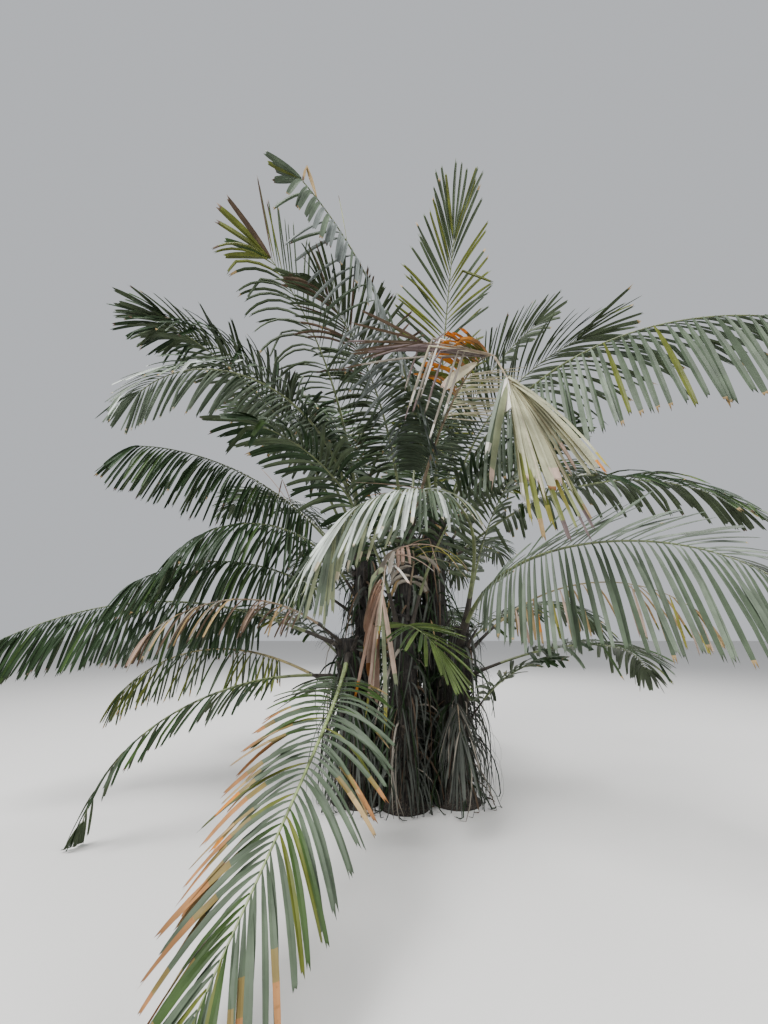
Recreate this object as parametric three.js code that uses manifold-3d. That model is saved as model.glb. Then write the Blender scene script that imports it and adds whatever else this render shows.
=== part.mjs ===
// Formosa palm: a clump of seven fibrous stems from one root, with long feather fronds.
// Millimetres, +Z up. The ground is z = 0, and the origin is the foot of the middle stem.
// Azimuths are degrees from +X towards +Y, and the side seen in the photo faces -Y.
import * as THREE from 'three';
import Module from 'manifold-3d';

const wasm = await Module();
wasm.setup();

// Sizes that all pieces share
const CLEARANCE = 0.3;
const LEAST_HEIGHT = 14;

// Stems: flared foot, even trunk, narrower crown
const STEM_SIDES = 10;
const FOOT_RADIUS = 205;
const FLARE_HEIGHT = 140;
const FLARE_RINGS = 4;
const CROWN_TAPER = 260;
const CROWN_NARROWING = 0.3;
const LEAN_CURVE = 1.5;

// Frond ribs: three-sided, thick at the sheath and fine at the tip
const RIB_STEPS = 100;
const PETIOLE_STEPS = 28;
const PETIOLE_STATION = 7;
const BEND_CURVE = 1.6;
const RIB_BASE = 46;
const RIB_TIP = 9;
const RIB_TAPER = 1.3;
const RIB_DEPTH = 0.8;
const LEAST_GIRTH = 0.35;
const FULL_GIRTH_LENGTH = 2800;
const ROOT_DEPTH = 22;
const RIB_SPACING = 12;
const RIB_ROOM = 0.55;

// A long frond that bends by more than SPLIT_BEND degrees is two pieces that meet at SPLIT_STEP.
const SPLIT_BEND = 100;
const SPLIT_LENGTH = 2000;
const SPLIT_STEP = 52;

// Leaflets: each stands for three or four real ones
const LEAFLET_WIDTH = 88;
const LEAFLET_THICKNESS = 0.016;
const LEAST_THICKNESS = 7;
const LONGEST_AT = 0.38;
const BASE_CUT = 0.38;
const BASE_CUT_CURVE = 1.5;
const BASE_ANGLE = 78;
const TIP_ANGLE = 24;
const ANGLE_CURVE = 1.3;
const VALLEY = 18;
const ELBOW = 0.45;
const ELBOW_FALL = 0.25;
const TIP_FALL = 0.85;
const OPENNESS = 0.62;
const LEAFLET_GAP = 0.5;
const OWN_ROOT = 0.12;

// The leaflet that ends a frond
const TERMINAL_ELBOW = 0.4;
const TERMINAL_FALL = 0.4;
const TERMINAL_WIDTH = 80;

// Leaflets of a fused, hanging frond
const FUSED = { baseAngle: 32, tipAngle: 4, baseShare: 0.75, width: 54 };

const STEMS = {
  middle: { foot: [0, 0], height: 2250, radius: 115, lean: [60, -20] },
  right: { foot: [310, 110], height: 2400, radius: 115, lean: [20, -20] },
  left: { foot: [-330, 90], height: 2150, radius: 115, lean: [-40, -20] },
  front_right: { foot: [400, -250], height: 1350, radius: 110, lean: [90, -60] },
  front: { foot: [-20, -340], height: 1450, radius: 110, lean: [0, -70] },
  front_left: { foot: [-400, -240], height: 1250, radius: 108, lean: [-110, -60] },
  back: { foot: [40, 372], height: 1900, radius: 112, lean: [10, 110] },
};

const COLOURS = {
  stem: '#2c261f',
  green: '#3f5a36',
  silver: '#848c7f',
  young: '#7f9a33',
  tan: '#8a7a4a',
  dead: '#a08a70',
};

// Fronds set one by one: those that the photo shows, then low ones on the hidden sides. Columns: name,
// stem, drop of the root below the stem's top, azimuth, rise, bend and sweep in degrees, rib length,
// longest leaflet, share of it that the last leaflets keep, leaflet pairs, droop of the leaflets, looks
const CHOSEN = [
  ['tall_left', 'right', 110, 259, 51, 16, -48, 3190, 580, 0.6, 12, 1.5, 'green'],
  ['upper_mid', 'right', 30, 277, 72, 25, -3, 2710, 680, 0.85, 12, 0.2, 'green'],
  ['upper_right', 'right', 170, 319, 70, 59, 8, 2390, 660, 0.85, 12, 0.5, 'green'],
  ['right_high', 'right', 290, 285, 44, 77, 39, 3130, 700, 0.85, 12, 1, 'green'],
  ['broken_top', 'middle', 50, 290, 58, 100, -18, 2360, 440, 0.9, 9, 0.9, 'dead'],
  ['dark_mid', 'middle', 30, 248, 71, 53, -16, 2400, 660, 0.7, 12, 0.6, 'green'],
  ['upper_left', 'left', 30, 251, 70, 35, -26, 2820, 700, 0.85, 12, 0.4, 'green'],
  ['left_silver', 'left', 140, 249, 65, 98, -89, 3060, 620, 0.7, 12, 0.6, 'silver'],
  ['left_up', 'left', 70, 220, 66, 59, -24, 2950, 680, 0.7, 12, 0.9, 'green'],
  ['left_mid', 'left', 300, 188, 52, 73, 50, 2500, 660, 0.7, 12, 0.9, 'green'],
  ['silver_front', 'front_right', 30, 284, 57, 107, -137, 2390, 540, 1, 12, 1.1, 'silver'],
  ['right_long', 'front_right', 130, 272, 34, 71, 100, 2600, 660, 0.8, 12, 1.1, 'green'],
  ['right_tan', 'front_right', 210, 355, 44, 87, -52, 1950, 500, 0.7, 9, 1.3, 'tan'],
  ['right_fan', 'front_right', 60, 318, 78, 35, 0, 1650, 500, 0.9, 9, 0.3, 'green'],
  ['right_thin', 'front_right', 400, 338, 23, 57, 74, 1850, 450, 0.7, 9, 0.8, 'green'],
  ['foot_right', 'front_right', 800, 314, 52, 36, 9, 880, 280, 0.8, 6, 0.5, 'green'],
  ['foot_dead', 'front_right', 640, 262, 20, 70, 0, 620, 450, 1, 6, 1.6, 'dead'],
  ['pink_front', 'front', 60, 306, 86, 150, -110, 1100, 300, 0.7, 6, 1.3, 'dead'],
  ['young_green', 'front', 180, 266, 21, 71, 60, 780, 380, 1, 8, 0.3, 'young'],
  ['big_low', 'front_left', 120, 273, -10, 33, -26, 2360, 500, 0.85, 12, 0.6, 'green'],
  ['left_low', 'front_left', 50, 179, 22, 54, 27, 2750, 620, 0.7, 12, 0.8, 'green'],
  ['dead_left', 'front_left', 30, 225, 33, 77, -28, 1600, 420, 0.7, 8, 1.2, 'dead'],
  ['low_left', 'front_left', 300, 225, 7, 82, -70, 2150, 340, 0.7, 9, 0.9, 'green'],
  ['left_olive', 'front_left', 420, 180, 28, 75, -8, 2100, 480, 0.7, 9, 0.8, 'tan'],
  ['left_dark', 'left', 700, 206, 33, 66, -10, 2050, 600, 0.7, 10, 0.9, 'green'],
  ['left_inner', 'left', 580, 232, 48, 100, -59, 2050, 580, 0.7, 10, 0.8, 'green'],
  ['centre_left', 'front', 110, 236, 66, 68, -10, 2100, 520, 0.7, 10, 0.7, 'green'],
  ['centre_right', 'front', 130, 324, 72, 60, 8, 2050, 520, 0.7, 10, 0.6, 'green'],
  ['low_right', 'right', 1450, 22, 44, 78, -10, 2100, 520, 0.7, 9, 0.9, 'green'],
  ['low_back_right', 'back', 1000, 58, 46, 84, 12, 2050, 500, 0.7, 9, 0.9, 'green'],
  ['low_back', 'back', 1180, 112, 38, 76, -12, 1900, 480, 0.7, 9, 0.8, 'green'],
  ['low_back_left', 'left', 1250, 158, 44, 80, 10, 2050, 500, 0.7, 9, 0.9, 'green'],
];

// Dead parts that hang from a broken rib. Columns: name, the rib that carries it, azimuth, rise, bend,
// rib length, longest leaflet, leaflet pairs, droop of the leaflets, whether they are fused into a fan
const HANGING = [
  ['dead_fan_top', 'broken_top', 290, -66, 6, 270, 800, 4, 0.5, true],
  ['dead_fan_front', 'pink_front', 218, -77, 6, 260, 760, 4, 0.6, true],
  ['dead_spray', 'broken_top', 184, 14, 14, 420, 460, 5, 0.5, false],
];

// Fronds of the sides that the photo hides. Columns: stem, azimuth it faces, fronds, length
const RULED = [
  ['middle', 95, 4, 2750],
  ['right', 22, 4, 2800],
  ['left', 160, 4, 2750],
  ['back', 90, 5, 2650],
];
const RULED_SPREAD = 72;
const GOLDEN = 0.618;
const YOUNG = { drop: 45, rise: 80, bend: 45, droop: 0.3 };
const OLD = { drop: 470, rise: 38, bend: 72, droop: 1.0 };
const RULED_SWEEP = 14;
const RULED_PAIRS = 12;
const RULED_LEAF = 0.23;
const RULED_TIP = 0.7;
const RULED_SHORTEST = 0.92;
const RULED_LONGEST = 1.08;
const SETTLE_STEP = 8;
const SETTLE_TRIES = 12;
const SEAT_ROUNDS = 6;
const SEAT_START = 4;

const UP = new THREE.Vector3(0, 0, 1);
const radians = THREE.MathUtils.degToRad;
const mix = THREE.MathUtils.lerp;

// Meshes and solids

function toSolid(points, triangles) {
  const vertProperties = new Float32Array(points.flatMap((p) => [p.x, p.y, p.z]));
  const triVerts = new Uint32Array(triangles.flat());
  return new wasm.Manifold(new wasm.Mesh({ numProp: 3, vertProperties, triVerts }));
}

function toMesh(name, solid, looks) {
  const { numProp, vertProperties, triVerts } = solid.getMesh();
  const positions = [];
  for (let i = 0; i < vertProperties.length; i += numProp) {
    positions.push(vertProperties[i], vertProperties[i + 1], vertProperties[i + 2]);
  }
  const geometry = new THREE.BufferGeometry();
  geometry.setAttribute('position', new THREE.Float32BufferAttribute(positions, 3));
  geometry.setIndex([...triVerts]);
  geometry.computeVertexNormals();
  const roughness = looks === 'stem' ? 0.95 : 0.5;
  const material = new THREE.MeshStandardMaterial({ color: COLOURS[looks], roughness, metalness: 0 });
  const mesh = new THREE.Mesh(geometry, material);
  mesh.name = name;
  return mesh;
}

function direction(azimuth, rise) {
  const a = radians(azimuth);
  const e = radians(rise);
  return new THREE.Vector3(Math.cos(e) * Math.cos(a), Math.cos(e) * Math.sin(a), Math.sin(e));
}

function along(point, vector, distance) {
  return point.clone().addScaledVector(vector, distance);
}

// Stems

function stemAxis(stem, z) {
  const lean = (Math.max(0, z) / stem.height) ** LEAN_CURVE;
  return new THREE.Vector3(stem.foot[0] + stem.lean[0] * lean, stem.foot[1] + stem.lean[1] * lean, z);
}

function stemRadius(stem, z) {
  const flare = Math.min(1, Math.max(0, 1 - z / FLARE_HEIGHT)) ** 2;
  const crown = Math.min(1, Math.max(0, (z - stem.height) / CROWN_TAPER + 1));
  return stem.radius * (1 - CROWN_NARROWING * crown) + (FOOT_RADIUS - stem.radius) * flare;
}

function stemHeights(stem) {
  const heights = [];
  for (let i = 0; i < FLARE_RINGS; i++) heights.push((FLARE_HEIGHT * i) / FLARE_RINGS);
  heights.push(FLARE_HEIGHT, stem.height / 2, stem.height - CROWN_TAPER, stem.height);
  return heights;
}

// The same stem, grown by `extra` all round, is what its neighbours and fronds are cut with.
function stemSolid(stem, extra = 0) {
  const heights = stemHeights(stem);
  const points = [];
  heights.forEach((z, ring) => {
    const end = ring === 0 ? -extra / 2 : ring === heights.length - 1 ? extra / 2 : 0;
    const centre = stemAxis(stem, z);
    const radius = stemRadius(stem, z) + extra;
    for (let side = 0; side < STEM_SIDES; side++) {
      points.push(along(centre, direction((360 * side) / STEM_SIDES, 0), radius).addScaledVector(UP, end));
    }
  });
  const triangles = [];
  for (let ring = 0; ring < heights.length - 1; ring++) {
    for (let side = 0; side < STEM_SIDES; side++) {
      const a = ring * STEM_SIDES + side;
      const b = ring * STEM_SIDES + ((side + 1) % STEM_SIDES);
      triangles.push([a, b, b + STEM_SIDES], [a, b + STEM_SIDES, a + STEM_SIDES]);
    }
  }
  const top = (heights.length - 1) * STEM_SIDES;
  for (let side = 1; side < STEM_SIDES - 1; side++) {
    triangles.push([0, side + 1, side], [top, top + side, top + side + 1]);
  }
  return toSolid(points, triangles);
}

// Ribs: a frond leaves its stem at `azimuth` and `rise`, bends down by `bend` and turns by `sweep`

function ribWidth(frond, s) {
  const girth = Math.min(1, mix(LEAST_GIRTH, 1, frond.length / FULL_GIRTH_LENGTH));
  return girth * mix(RIB_TIP, RIB_BASE, (1 - s) ** RIB_TAPER);
}

function layRib(frond) {
  const frames = [];
  const point = frond.root(frond);
  for (let i = 0; i <= RIB_STEPS; i++) {
    const s = i / RIB_STEPS;
    const azimuth = frond.azimuth + frond.sweep * s ** BEND_CURVE;
    const tangent = direction(azimuth, frond.rise - frond.bend * s ** BEND_CURVE);
    const side = direction(azimuth - 90, 0);
    frames.push({
      point: point.clone(),
      tangent,
      side,
      normal: side.clone().cross(tangent),
      width: ribWidth(frond, s),
    });
    const half = ((i + 0.5) / RIB_STEPS) ** BEND_CURVE;
    const step = direction(frond.azimuth + frond.sweep * half, frond.rise - frond.bend * half);
    point.addScaledVector(step, frond.length / RIB_STEPS);
  }
  return frames;
}

function rootOnStem(stem, drop) {
  const z = stem.height - drop;
  return (frond) => along(
    stemAxis(stem, z), direction(frond.azimuth, 0), stemRadius(stem, z) - ROOT_DEPTH,
  );
}

function ribsClear(frames, others) {
  return others.every((other) => frames.every((a) => other.every((b) => {
    const room = (a.width + b.width) * RIB_ROOM + RIB_SPACING;
    return a.point.distanceToSquared(b.point) >= room * room;
  })));
}

function stemsClear(frames, carrier) {
  return Object.values(STEMS).every((stem) => stem === carrier || frames.every(({ point, width }) => {
    if (point.z > stem.height + width) return true;
    const room = stemRadius(stem, point.z) + width + RIB_SPACING;
    return stemAxis(stem, point.z).distanceTo(point) >= room;
  }));
}

function chosenFronds() {
  const carriers = HANGING.map(([, carrier]) => carrier);
  return CHOSEN.map((row) => {
    const [name, stemName, drop, azimuth, rise, bend, sweep, length, leaf, tip, pairs, droop, looks] = row;
    const stem = STEMS[stemName];
    const frond = { name, stem, azimuth, rise, bend, sweep, length, leaf, tip, pairs, droop, looks };
    frond.root = rootOnStem(stem, drop);
    frond.frames = layRib(frond);
    frond.broken = carriers.includes(name);
    return frond;
  });
}

// A hanging part starts clear of the broken rib and is drawn up until it almost touches it, or a part
// that hangs there already.
function hangingFronds(chosen) {
  const laid = [];
  for (const [name, carrierName, azimuth, rise, bend, length, leaf, pairs, droop, fused] of HANGING) {
    const carrier = chosen.find((frond) => frond.name === carrierName);
    const { point, width } = carrier.frames[RIB_STEPS];
    const frond = { name, azimuth, rise, bend, sweep: 0, length, leaf, tip: 1, pairs, droop, fused };
    frond.looks = 'dead';
    const near = [carrier, ...laid.filter((other) => other.carrier === carrier)].map(bareBlade);
    let distance = SEAT_START * width;
    for (let round = 0; round < SEAT_ROUNDS; round++) {
      frond.root = () => along(point, direction(azimuth, rise), distance);
      frond.frames = layRib(frond);
      const bare = bareBlade(frond);
      distance -= Math.min(...near.map((other) => bare.minGap(other, 2 * SEAT_START * width))) - CLEARANCE;
    }
    frond.carrier = carrier;
    laid.push(frond);
  }
  return laid;
}

// Each ruled frond keeps its place in the spiral, or turns aside until its rib is clear.
function ruledFronds(before) {
  const laid = [...before];
  for (const [stemName, facing, count, reach] of RULED) {
    const stem = STEMS[stemName];
    for (let i = 0; i < count; i++) {
      const age = i / (count - 1);
      const turn = ((i + 0.5) * GOLDEN) % 1;
      const aim = facing + RULED_SPREAD * (2 * turn - 1);
      const frond = {
        name: `${stemName}_${i + 1}`,
        stem,
        rise: mix(YOUNG.rise, OLD.rise, age),
        bend: mix(YOUNG.bend, OLD.bend, age),
        sweep: i % 2 ? RULED_SWEEP : -RULED_SWEEP,
        length: reach * mix(RULED_SHORTEST, RULED_LONGEST, turn),
        tip: RULED_TIP,
        pairs: RULED_PAIRS,
        droop: mix(YOUNG.droop, OLD.droop, age),
        looks: 'green',
      };
      frond.leaf = RULED_LEAF * frond.length;
      frond.root = rootOnStem(stem, mix(YOUNG.drop, OLD.drop, age));
      for (let attempt = 0; attempt < SETTLE_TRIES; attempt++) {
        const aside = Math.ceil(attempt / 2) * SETTLE_STEP * (attempt % 2 ? 1 : -1);
        frond.azimuth = aim + aside;
        frond.frames = layRib(frond);
        if (ribsClear(frond.frames, laid.map((other) => other.frames)) && stemsClear(frond.frames, stem)) {
          laid.push(frond);
          break;
        }
      }
    }
  }
  return laid.slice(before.length);
}

// Blades: the rib's three-sided section carries a leaflet on each flank between two stations

function section({ point, side, normal, width }) {
  return [
    along(point, side, -width / 2),
    along(point, side, width / 2),
    along(point, normal, -width * RIB_DEPTH),
  ];
}

function stationSteps(frond) {
  const steps = [];
  for (let i = 0; i < PETIOLE_STEPS; i += PETIOLE_STATION) steps.push(i);
  const pitch = (RIB_STEPS - PETIOLE_STEPS) / frond.pairs;
  for (let k = 0; k <= frond.pairs; k++) steps.push(Math.round(PETIOLE_STEPS + k * pitch));
  return steps;
}

function leafletLength(frond, u) {
  if (frond.fused) return frond.leaf * mix(FUSED.baseShare, 1, u);
  if (u > LONGEST_AT) return frond.leaf * (1 - (1 - frond.tip) * ((u - LONGEST_AT) / (1 - LONGEST_AT)) ** 2);
  return frond.leaf * (1 - BASE_CUT * ((LONGEST_AT - u) / LONGEST_AT) ** BASE_CUT_CURVE);
}

function leafletAngle(frond, u) {
  if (frond.fused) return mix(FUSED.baseAngle, FUSED.tipAngle, u);
  return mix(BASE_ANGLE, TIP_ANGLE, u ** ANGLE_CURVE);
}

function keepUp(point, least = LEAST_HEIGHT) {
  point.z = Math.max(point.z, least);
  return point;
}

// Corners of one leaflet past its root: near edge, far edge, keel and tip.
function leafletCorners(frond, from, to, u, hand, lift, cut) {
  const centre = from.point.clone().lerp(to.point, 0.5);
  const tangent = from.tangent.clone().add(to.tangent).normalize();
  const normal = from.normal.clone().add(to.normal).normalize();
  const angle = radians(leafletAngle(frond, u));
  const valley = radians(VALLEY + lift);
  const outward = from.side.clone().multiplyScalar(hand * Math.cos(valley));
  outward.addScaledVector(normal, Math.sin(valley));
  const heading = tangent.clone().multiplyScalar(Math.cos(angle)).addScaledVector(outward, Math.sin(angle));
  const inner = along(heading, UP, -ELBOW_FALL * frond.droop).normalize();
  const outer = along(heading, UP, -TIP_FALL * frond.droop).normalize();
  const length = leafletLength(frond, u) * cut;
  const pitch = from.point.distanceTo(to.point);
  const width = frond.fused ? FUSED.width : Math.min(LEAFLET_WIDTH, OPENNESS * pitch * Math.sin(angle));
  const across = along(tangent, inner, -tangent.dot(inner)).normalize();
  const below = inner.clone().cross(across).multiplyScalar(-hand);
  const elbow = keepUp(along(centre, inner, length * ELBOW), 3 * LEAST_HEIGHT);
  const thickness = Math.max(LEAST_THICKNESS, LEAFLET_THICKNESS * length);
  return [
    keepUp(along(elbow, across, -width / 2)),
    keepUp(along(elbow, across, width / 2)),
    keepUp(along(elbow, below, thickness)),
    keepUp(along(elbow, outer, length * (1 - ELBOW))),
  ];
}

// Corner order: root near top, root far top, root far keel, root near keel, then the four above.
const LEAFLET_FACES = [
  [0, 4, 5], [0, 5, 1], [1, 5, 6], [1, 6, 2], [2, 6, 3],
  [4, 0, 3], [4, 3, 6], [5, 4, 7], [6, 5, 7], [4, 6, 7],
];
const LEAFLET_ROOT = [[0, 1, 2], [0, 2, 3]];
const FLANK_FACES = [[0, 3, 2], [0, 2, 1]];

function turned(triangles, hand) {
  return hand > 0 ? triangles : triangles.map(([a, b, c]) => [a, c, b]);
}

// A leaflet on its own, with its root drawn out of the rib by a share of its length.
function looseLeaflet(root, corners, hand, drawn) {
  const [nearEdge, farEdge, keel] = corners;
  const ends = [nearEdge, farEdge, keel, keel];
  const start = root.map((point, i) => point.clone().lerp(ends[i], drawn));
  return toSolid([...start, ...corners], turned([...LEAFLET_FACES, ...LEAFLET_ROOT], hand));
}

function boxesNear(a, b, reach) {
  return [0, 1, 2].every((k) => a.min[k] - reach < b.max[k] && b.min[k] - reach < a.max[k]);
}

function isClear(solid, others) {
  const box = solid.boundingBox();
  return others.every(({ other, otherBox }) => (
    !boxesNear(box, otherBox, LEAFLET_GAP) || solid.minGap(other, 2 * LEAFLET_GAP) > LEAFLET_GAP
  ));
}

function boxed(solid) {
  return { other: solid, otherBox: solid.boundingBox() };
}

// Ways a leaflet may give way to its neighbours: lift in degrees and share of its length.
const WAYS = [
  [0, 1], [14, 1], [-14, 1], [28, 1], [-28, 0.9], [0, 0.75], [20, 0.7], [-20, 0.7], [0, 0.5], [25, 0.45],
];

function fitLeaflets(frond, obstacles) {
  const steps = stationSteps(frond);
  const first = PETIOLE_STEPS / PETIOLE_STATION;
  const leaflets = new Map();
  const own = [];
  for (let k = first; k < steps.length - 1; k++) {
    const from = frond.frames[steps[k]];
    const to = frond.frames[steps[k + 1]];
    const u = (k - first + 0.5) / frond.pairs;
    const [fromLeft, fromRight, fromKeel] = section(from);
    const [toLeft, toRight, toKeel] = section(to);
    for (const hand of [1, -1]) {
      const root = hand > 0 ? [fromRight, toRight, toKeel, fromKeel] : [fromLeft, toLeft, toKeel, fromKeel];
      for (const [lift, cut] of WAYS) {
        const corners = leafletCorners(frond, from, to, u, hand, lift, cut);
        const whole = looseLeaflet(root, corners, hand, 0);
        const outer = looseLeaflet(root, corners, hand, OWN_ROOT);
        if (whole.volume() > 0 && isClear(whole, obstacles) && isClear(outer, own)) {
          leaflets.set(`${k},${hand}`, { corners, whole });
          own.push(boxed(outer));
          break;
        }
      }
    }
  }
  frond.leaflets = leaflets;
}

// One closed mesh from station `first` to station `last`, with the leaflets that it has so far.
function bladeSolid(frond, first, last) {
  const steps = stationSteps(frond);
  const points = [];
  const triangles = [];
  const addSection = (frame) => points.push(...section(frame)) - 3;
  const addBay = (a, b, key) => {
    triangles.push([a, a + 1, b + 1], [a, b + 1, b]);
    for (const hand of [1, -1]) {
      const edge = hand > 0 ? 1 : 0;
      const root = [a + edge, b + edge, b + 2, a + 2];
      const leaflet = frond.leaflets?.get(`${key},${hand}`);
      const start = leaflet ? points.push(...leaflet.corners) - 4 : 0;
      const corner = (i) => (i < 4 ? root[i] : start + i - 4);
      const faces = leaflet ? LEAFLET_FACES : FLANK_FACES;
      for (const face of turned(faces, hand)) triangles.push(face.map(corner));
    }
  };
  const base = { ...frond.frames[steps[first]] };
  if (first > 0) base.point = along(base.point, base.tangent, CLEARANCE);
  let before = addSection(base);
  triangles.push([before + 1, before, before + 2]);
  for (let k = first; k < last; k++) {
    const next = addSection(frond.frames[steps[k + 1]]);
    addBay(before, next, k);
    before = next;
  }
  const end = frond.frames[RIB_STEPS];
  if (last === steps.length - 1 && !frond.broken && !frond.fused) {
    const length = leafletLength(frond, 1);
    const heading = along(end.tangent, UP, -TERMINAL_FALL * frond.droop).normalize();
    const elbow = keepUp(along(end.point, heading, length * TERMINAL_ELBOW), 3 * LEAST_HEIGHT);
    const thickness = Math.max(LEAST_THICKNESS, LEAFLET_THICKNESS * length);
    const start = points.length;
    points.push(
      keepUp(along(elbow, end.side, -TERMINAL_WIDTH / 2)),
      keepUp(along(elbow, end.side, TERMINAL_WIDTH / 2)),
      keepUp(along(elbow, end.normal, -thickness)),
    );
    addBay(before, start, 'terminal');
    const tip = points.push(keepUp(along(elbow, heading, length * (1 - TERMINAL_ELBOW)))) - 1;
    triangles.push([start, start + 1, tip], [start + 1, start + 2, tip], [start + 2, start, tip]);
  } else {
    triangles.push([before, before + 1, before + 2]);
  }
  return toSolid(points, triangles);
}

function bareBlade(frond) {
  return bladeSolid({ ...frond, leaflets: null }, 0, stationSteps(frond).length - 1);
}

function largest(solid) {
  return solid.decompose().reduce((a, b) => (b.volume() > a.volume() ? b : a));
}

const palm = new THREE.Group();
palm.name = 'formosa_palm';

const stemSolids = [];
for (const [name, stem] of Object.entries(STEMS)) {
  let solid = stemSolid(stem);
  for (const earlier of stemSolids) solid = solid.subtract(stemSolid(earlier.stem, CLEARANCE));
  stemSolids.push({ stem, solid });
  palm.add(toMesh(`stem_${name}`, solid, 'stem'));
}

const chosen = chosenFronds();
const placed = [...chosen, ...hangingFronds(chosen)];
const fronds = [...placed, ...ruledFronds(placed)];

for (const frond of fronds) frond.bare = boxed(bareBlade(frond));
const stemObstacles = stemSolids.map(({ solid }) => boxed(solid));
const laidLeaflets = [];
for (const frond of fronds) {
  const ribs = fronds.filter((other) => other !== frond).map((other) => other.bare);
  fitLeaflets(frond, [...stemObstacles, ...ribs, ...laidLeaflets]);
  for (const { whole } of frond.leaflets.values()) laidLeaflets.push(boxed(whole));
}

for (const frond of fronds) {
  const last = stationSteps(frond).length - 1;
  const isSplit = frond.bend > SPLIT_BEND && frond.length > SPLIT_LENGTH;
  const split = isSplit ? stationSteps(frond).findIndex((step) => step >= SPLIT_STEP) : last;
  let solid = bladeSolid(frond, 0, split);
  if (frond.stem) solid = largest(solid.subtract(stemSolid(frond.stem, CLEARANCE)));
  palm.add(toMesh(`frond_${frond.name}`, solid, frond.looks));
  if (isSplit) palm.add(toMesh(`frond_${frond.name}_tip`, bladeSolid(frond, split, last), frond.looks));
}

export default palm;
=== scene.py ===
import math
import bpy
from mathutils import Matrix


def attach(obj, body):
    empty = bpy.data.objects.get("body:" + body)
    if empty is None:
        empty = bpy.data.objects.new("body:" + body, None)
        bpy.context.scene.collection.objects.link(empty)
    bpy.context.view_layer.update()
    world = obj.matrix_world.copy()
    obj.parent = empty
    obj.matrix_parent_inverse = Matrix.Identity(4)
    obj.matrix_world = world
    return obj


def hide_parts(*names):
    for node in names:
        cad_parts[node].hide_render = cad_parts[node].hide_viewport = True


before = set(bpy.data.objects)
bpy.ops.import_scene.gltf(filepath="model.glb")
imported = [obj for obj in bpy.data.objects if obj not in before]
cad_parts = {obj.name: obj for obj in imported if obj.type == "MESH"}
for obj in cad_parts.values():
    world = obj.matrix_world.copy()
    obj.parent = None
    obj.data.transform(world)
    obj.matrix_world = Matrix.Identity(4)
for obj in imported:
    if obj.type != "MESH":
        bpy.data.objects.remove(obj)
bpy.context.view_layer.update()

import zlib

import bpy
import numpy as np
from bpy.props import FloatProperty, FloatVectorProperty, IntProperty, PointerProperty
from bpy.types import Operator, Panel, PropertyGroup
from mathutils import Vector

bl_info = {
    "name": "Formosa palm",
    "version": (1, 0, 0),
    "blender": (4, 5, 0),
    "location": "View3D > Sidebar > Palm",
    "description": "Dresses a clump of feather palm stems with ribs, leaflets, sheaths and fibre",
    "category": "Object",
}

UP = np.array([0.0, 0.0, 1.0])

# Stems, in metres: foot, height, radius and how far the top leans. The fronds grow from them.
STEMS = {
    "middle": {"foot": (0.0, 0.0), "height": 2.25, "radius": 0.115, "lean": (0.06, -0.02)},
    "right": {"foot": (0.31, 0.11), "height": 2.40, "radius": 0.115, "lean": (0.02, -0.02)},
    "left": {"foot": (-0.33, 0.09), "height": 2.15, "radius": 0.115, "lean": (-0.04, -0.02)},
    "front_right": {"foot": (0.40, -0.25), "height": 1.35, "radius": 0.110, "lean": (0.09, -0.06)},
    "front": {"foot": (-0.02, -0.34), "height": 1.45, "radius": 0.110, "lean": (0.0, -0.07)},
    "front_left": {"foot": (-0.40, -0.24), "height": 1.25, "radius": 0.108, "lean": (-0.11, -0.06)},
    "back": {"foot": (0.04, 0.372), "height": 1.90, "radius": 0.112, "lean": (0.01, 0.11)},
}
FOOT_RADIUS = 0.205
FLARE_HEIGHT = 0.14
CROWN_TAPER = 0.26
CROWN_NARROWING = 0.3
LEAN_CURVE = 1.5

# Ribs follow one rule: leave the stem at an azimuth and a rise, bend down and turn aside.
RIB_STEPS = 100
PETIOLE_SHARE = 0.28
BEND_CURVE = 1.6
RIB_BASE = 0.046
RIB_TIP = 0.009
RIB_TAPER = 1.3
LEAST_GIRTH = 0.35
FULL_GIRTH_LENGTH = 2.8
ROOT_DEPTH = 0.022
RIB_SPACING = 0.012
RIB_ROOM = 0.55

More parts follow.
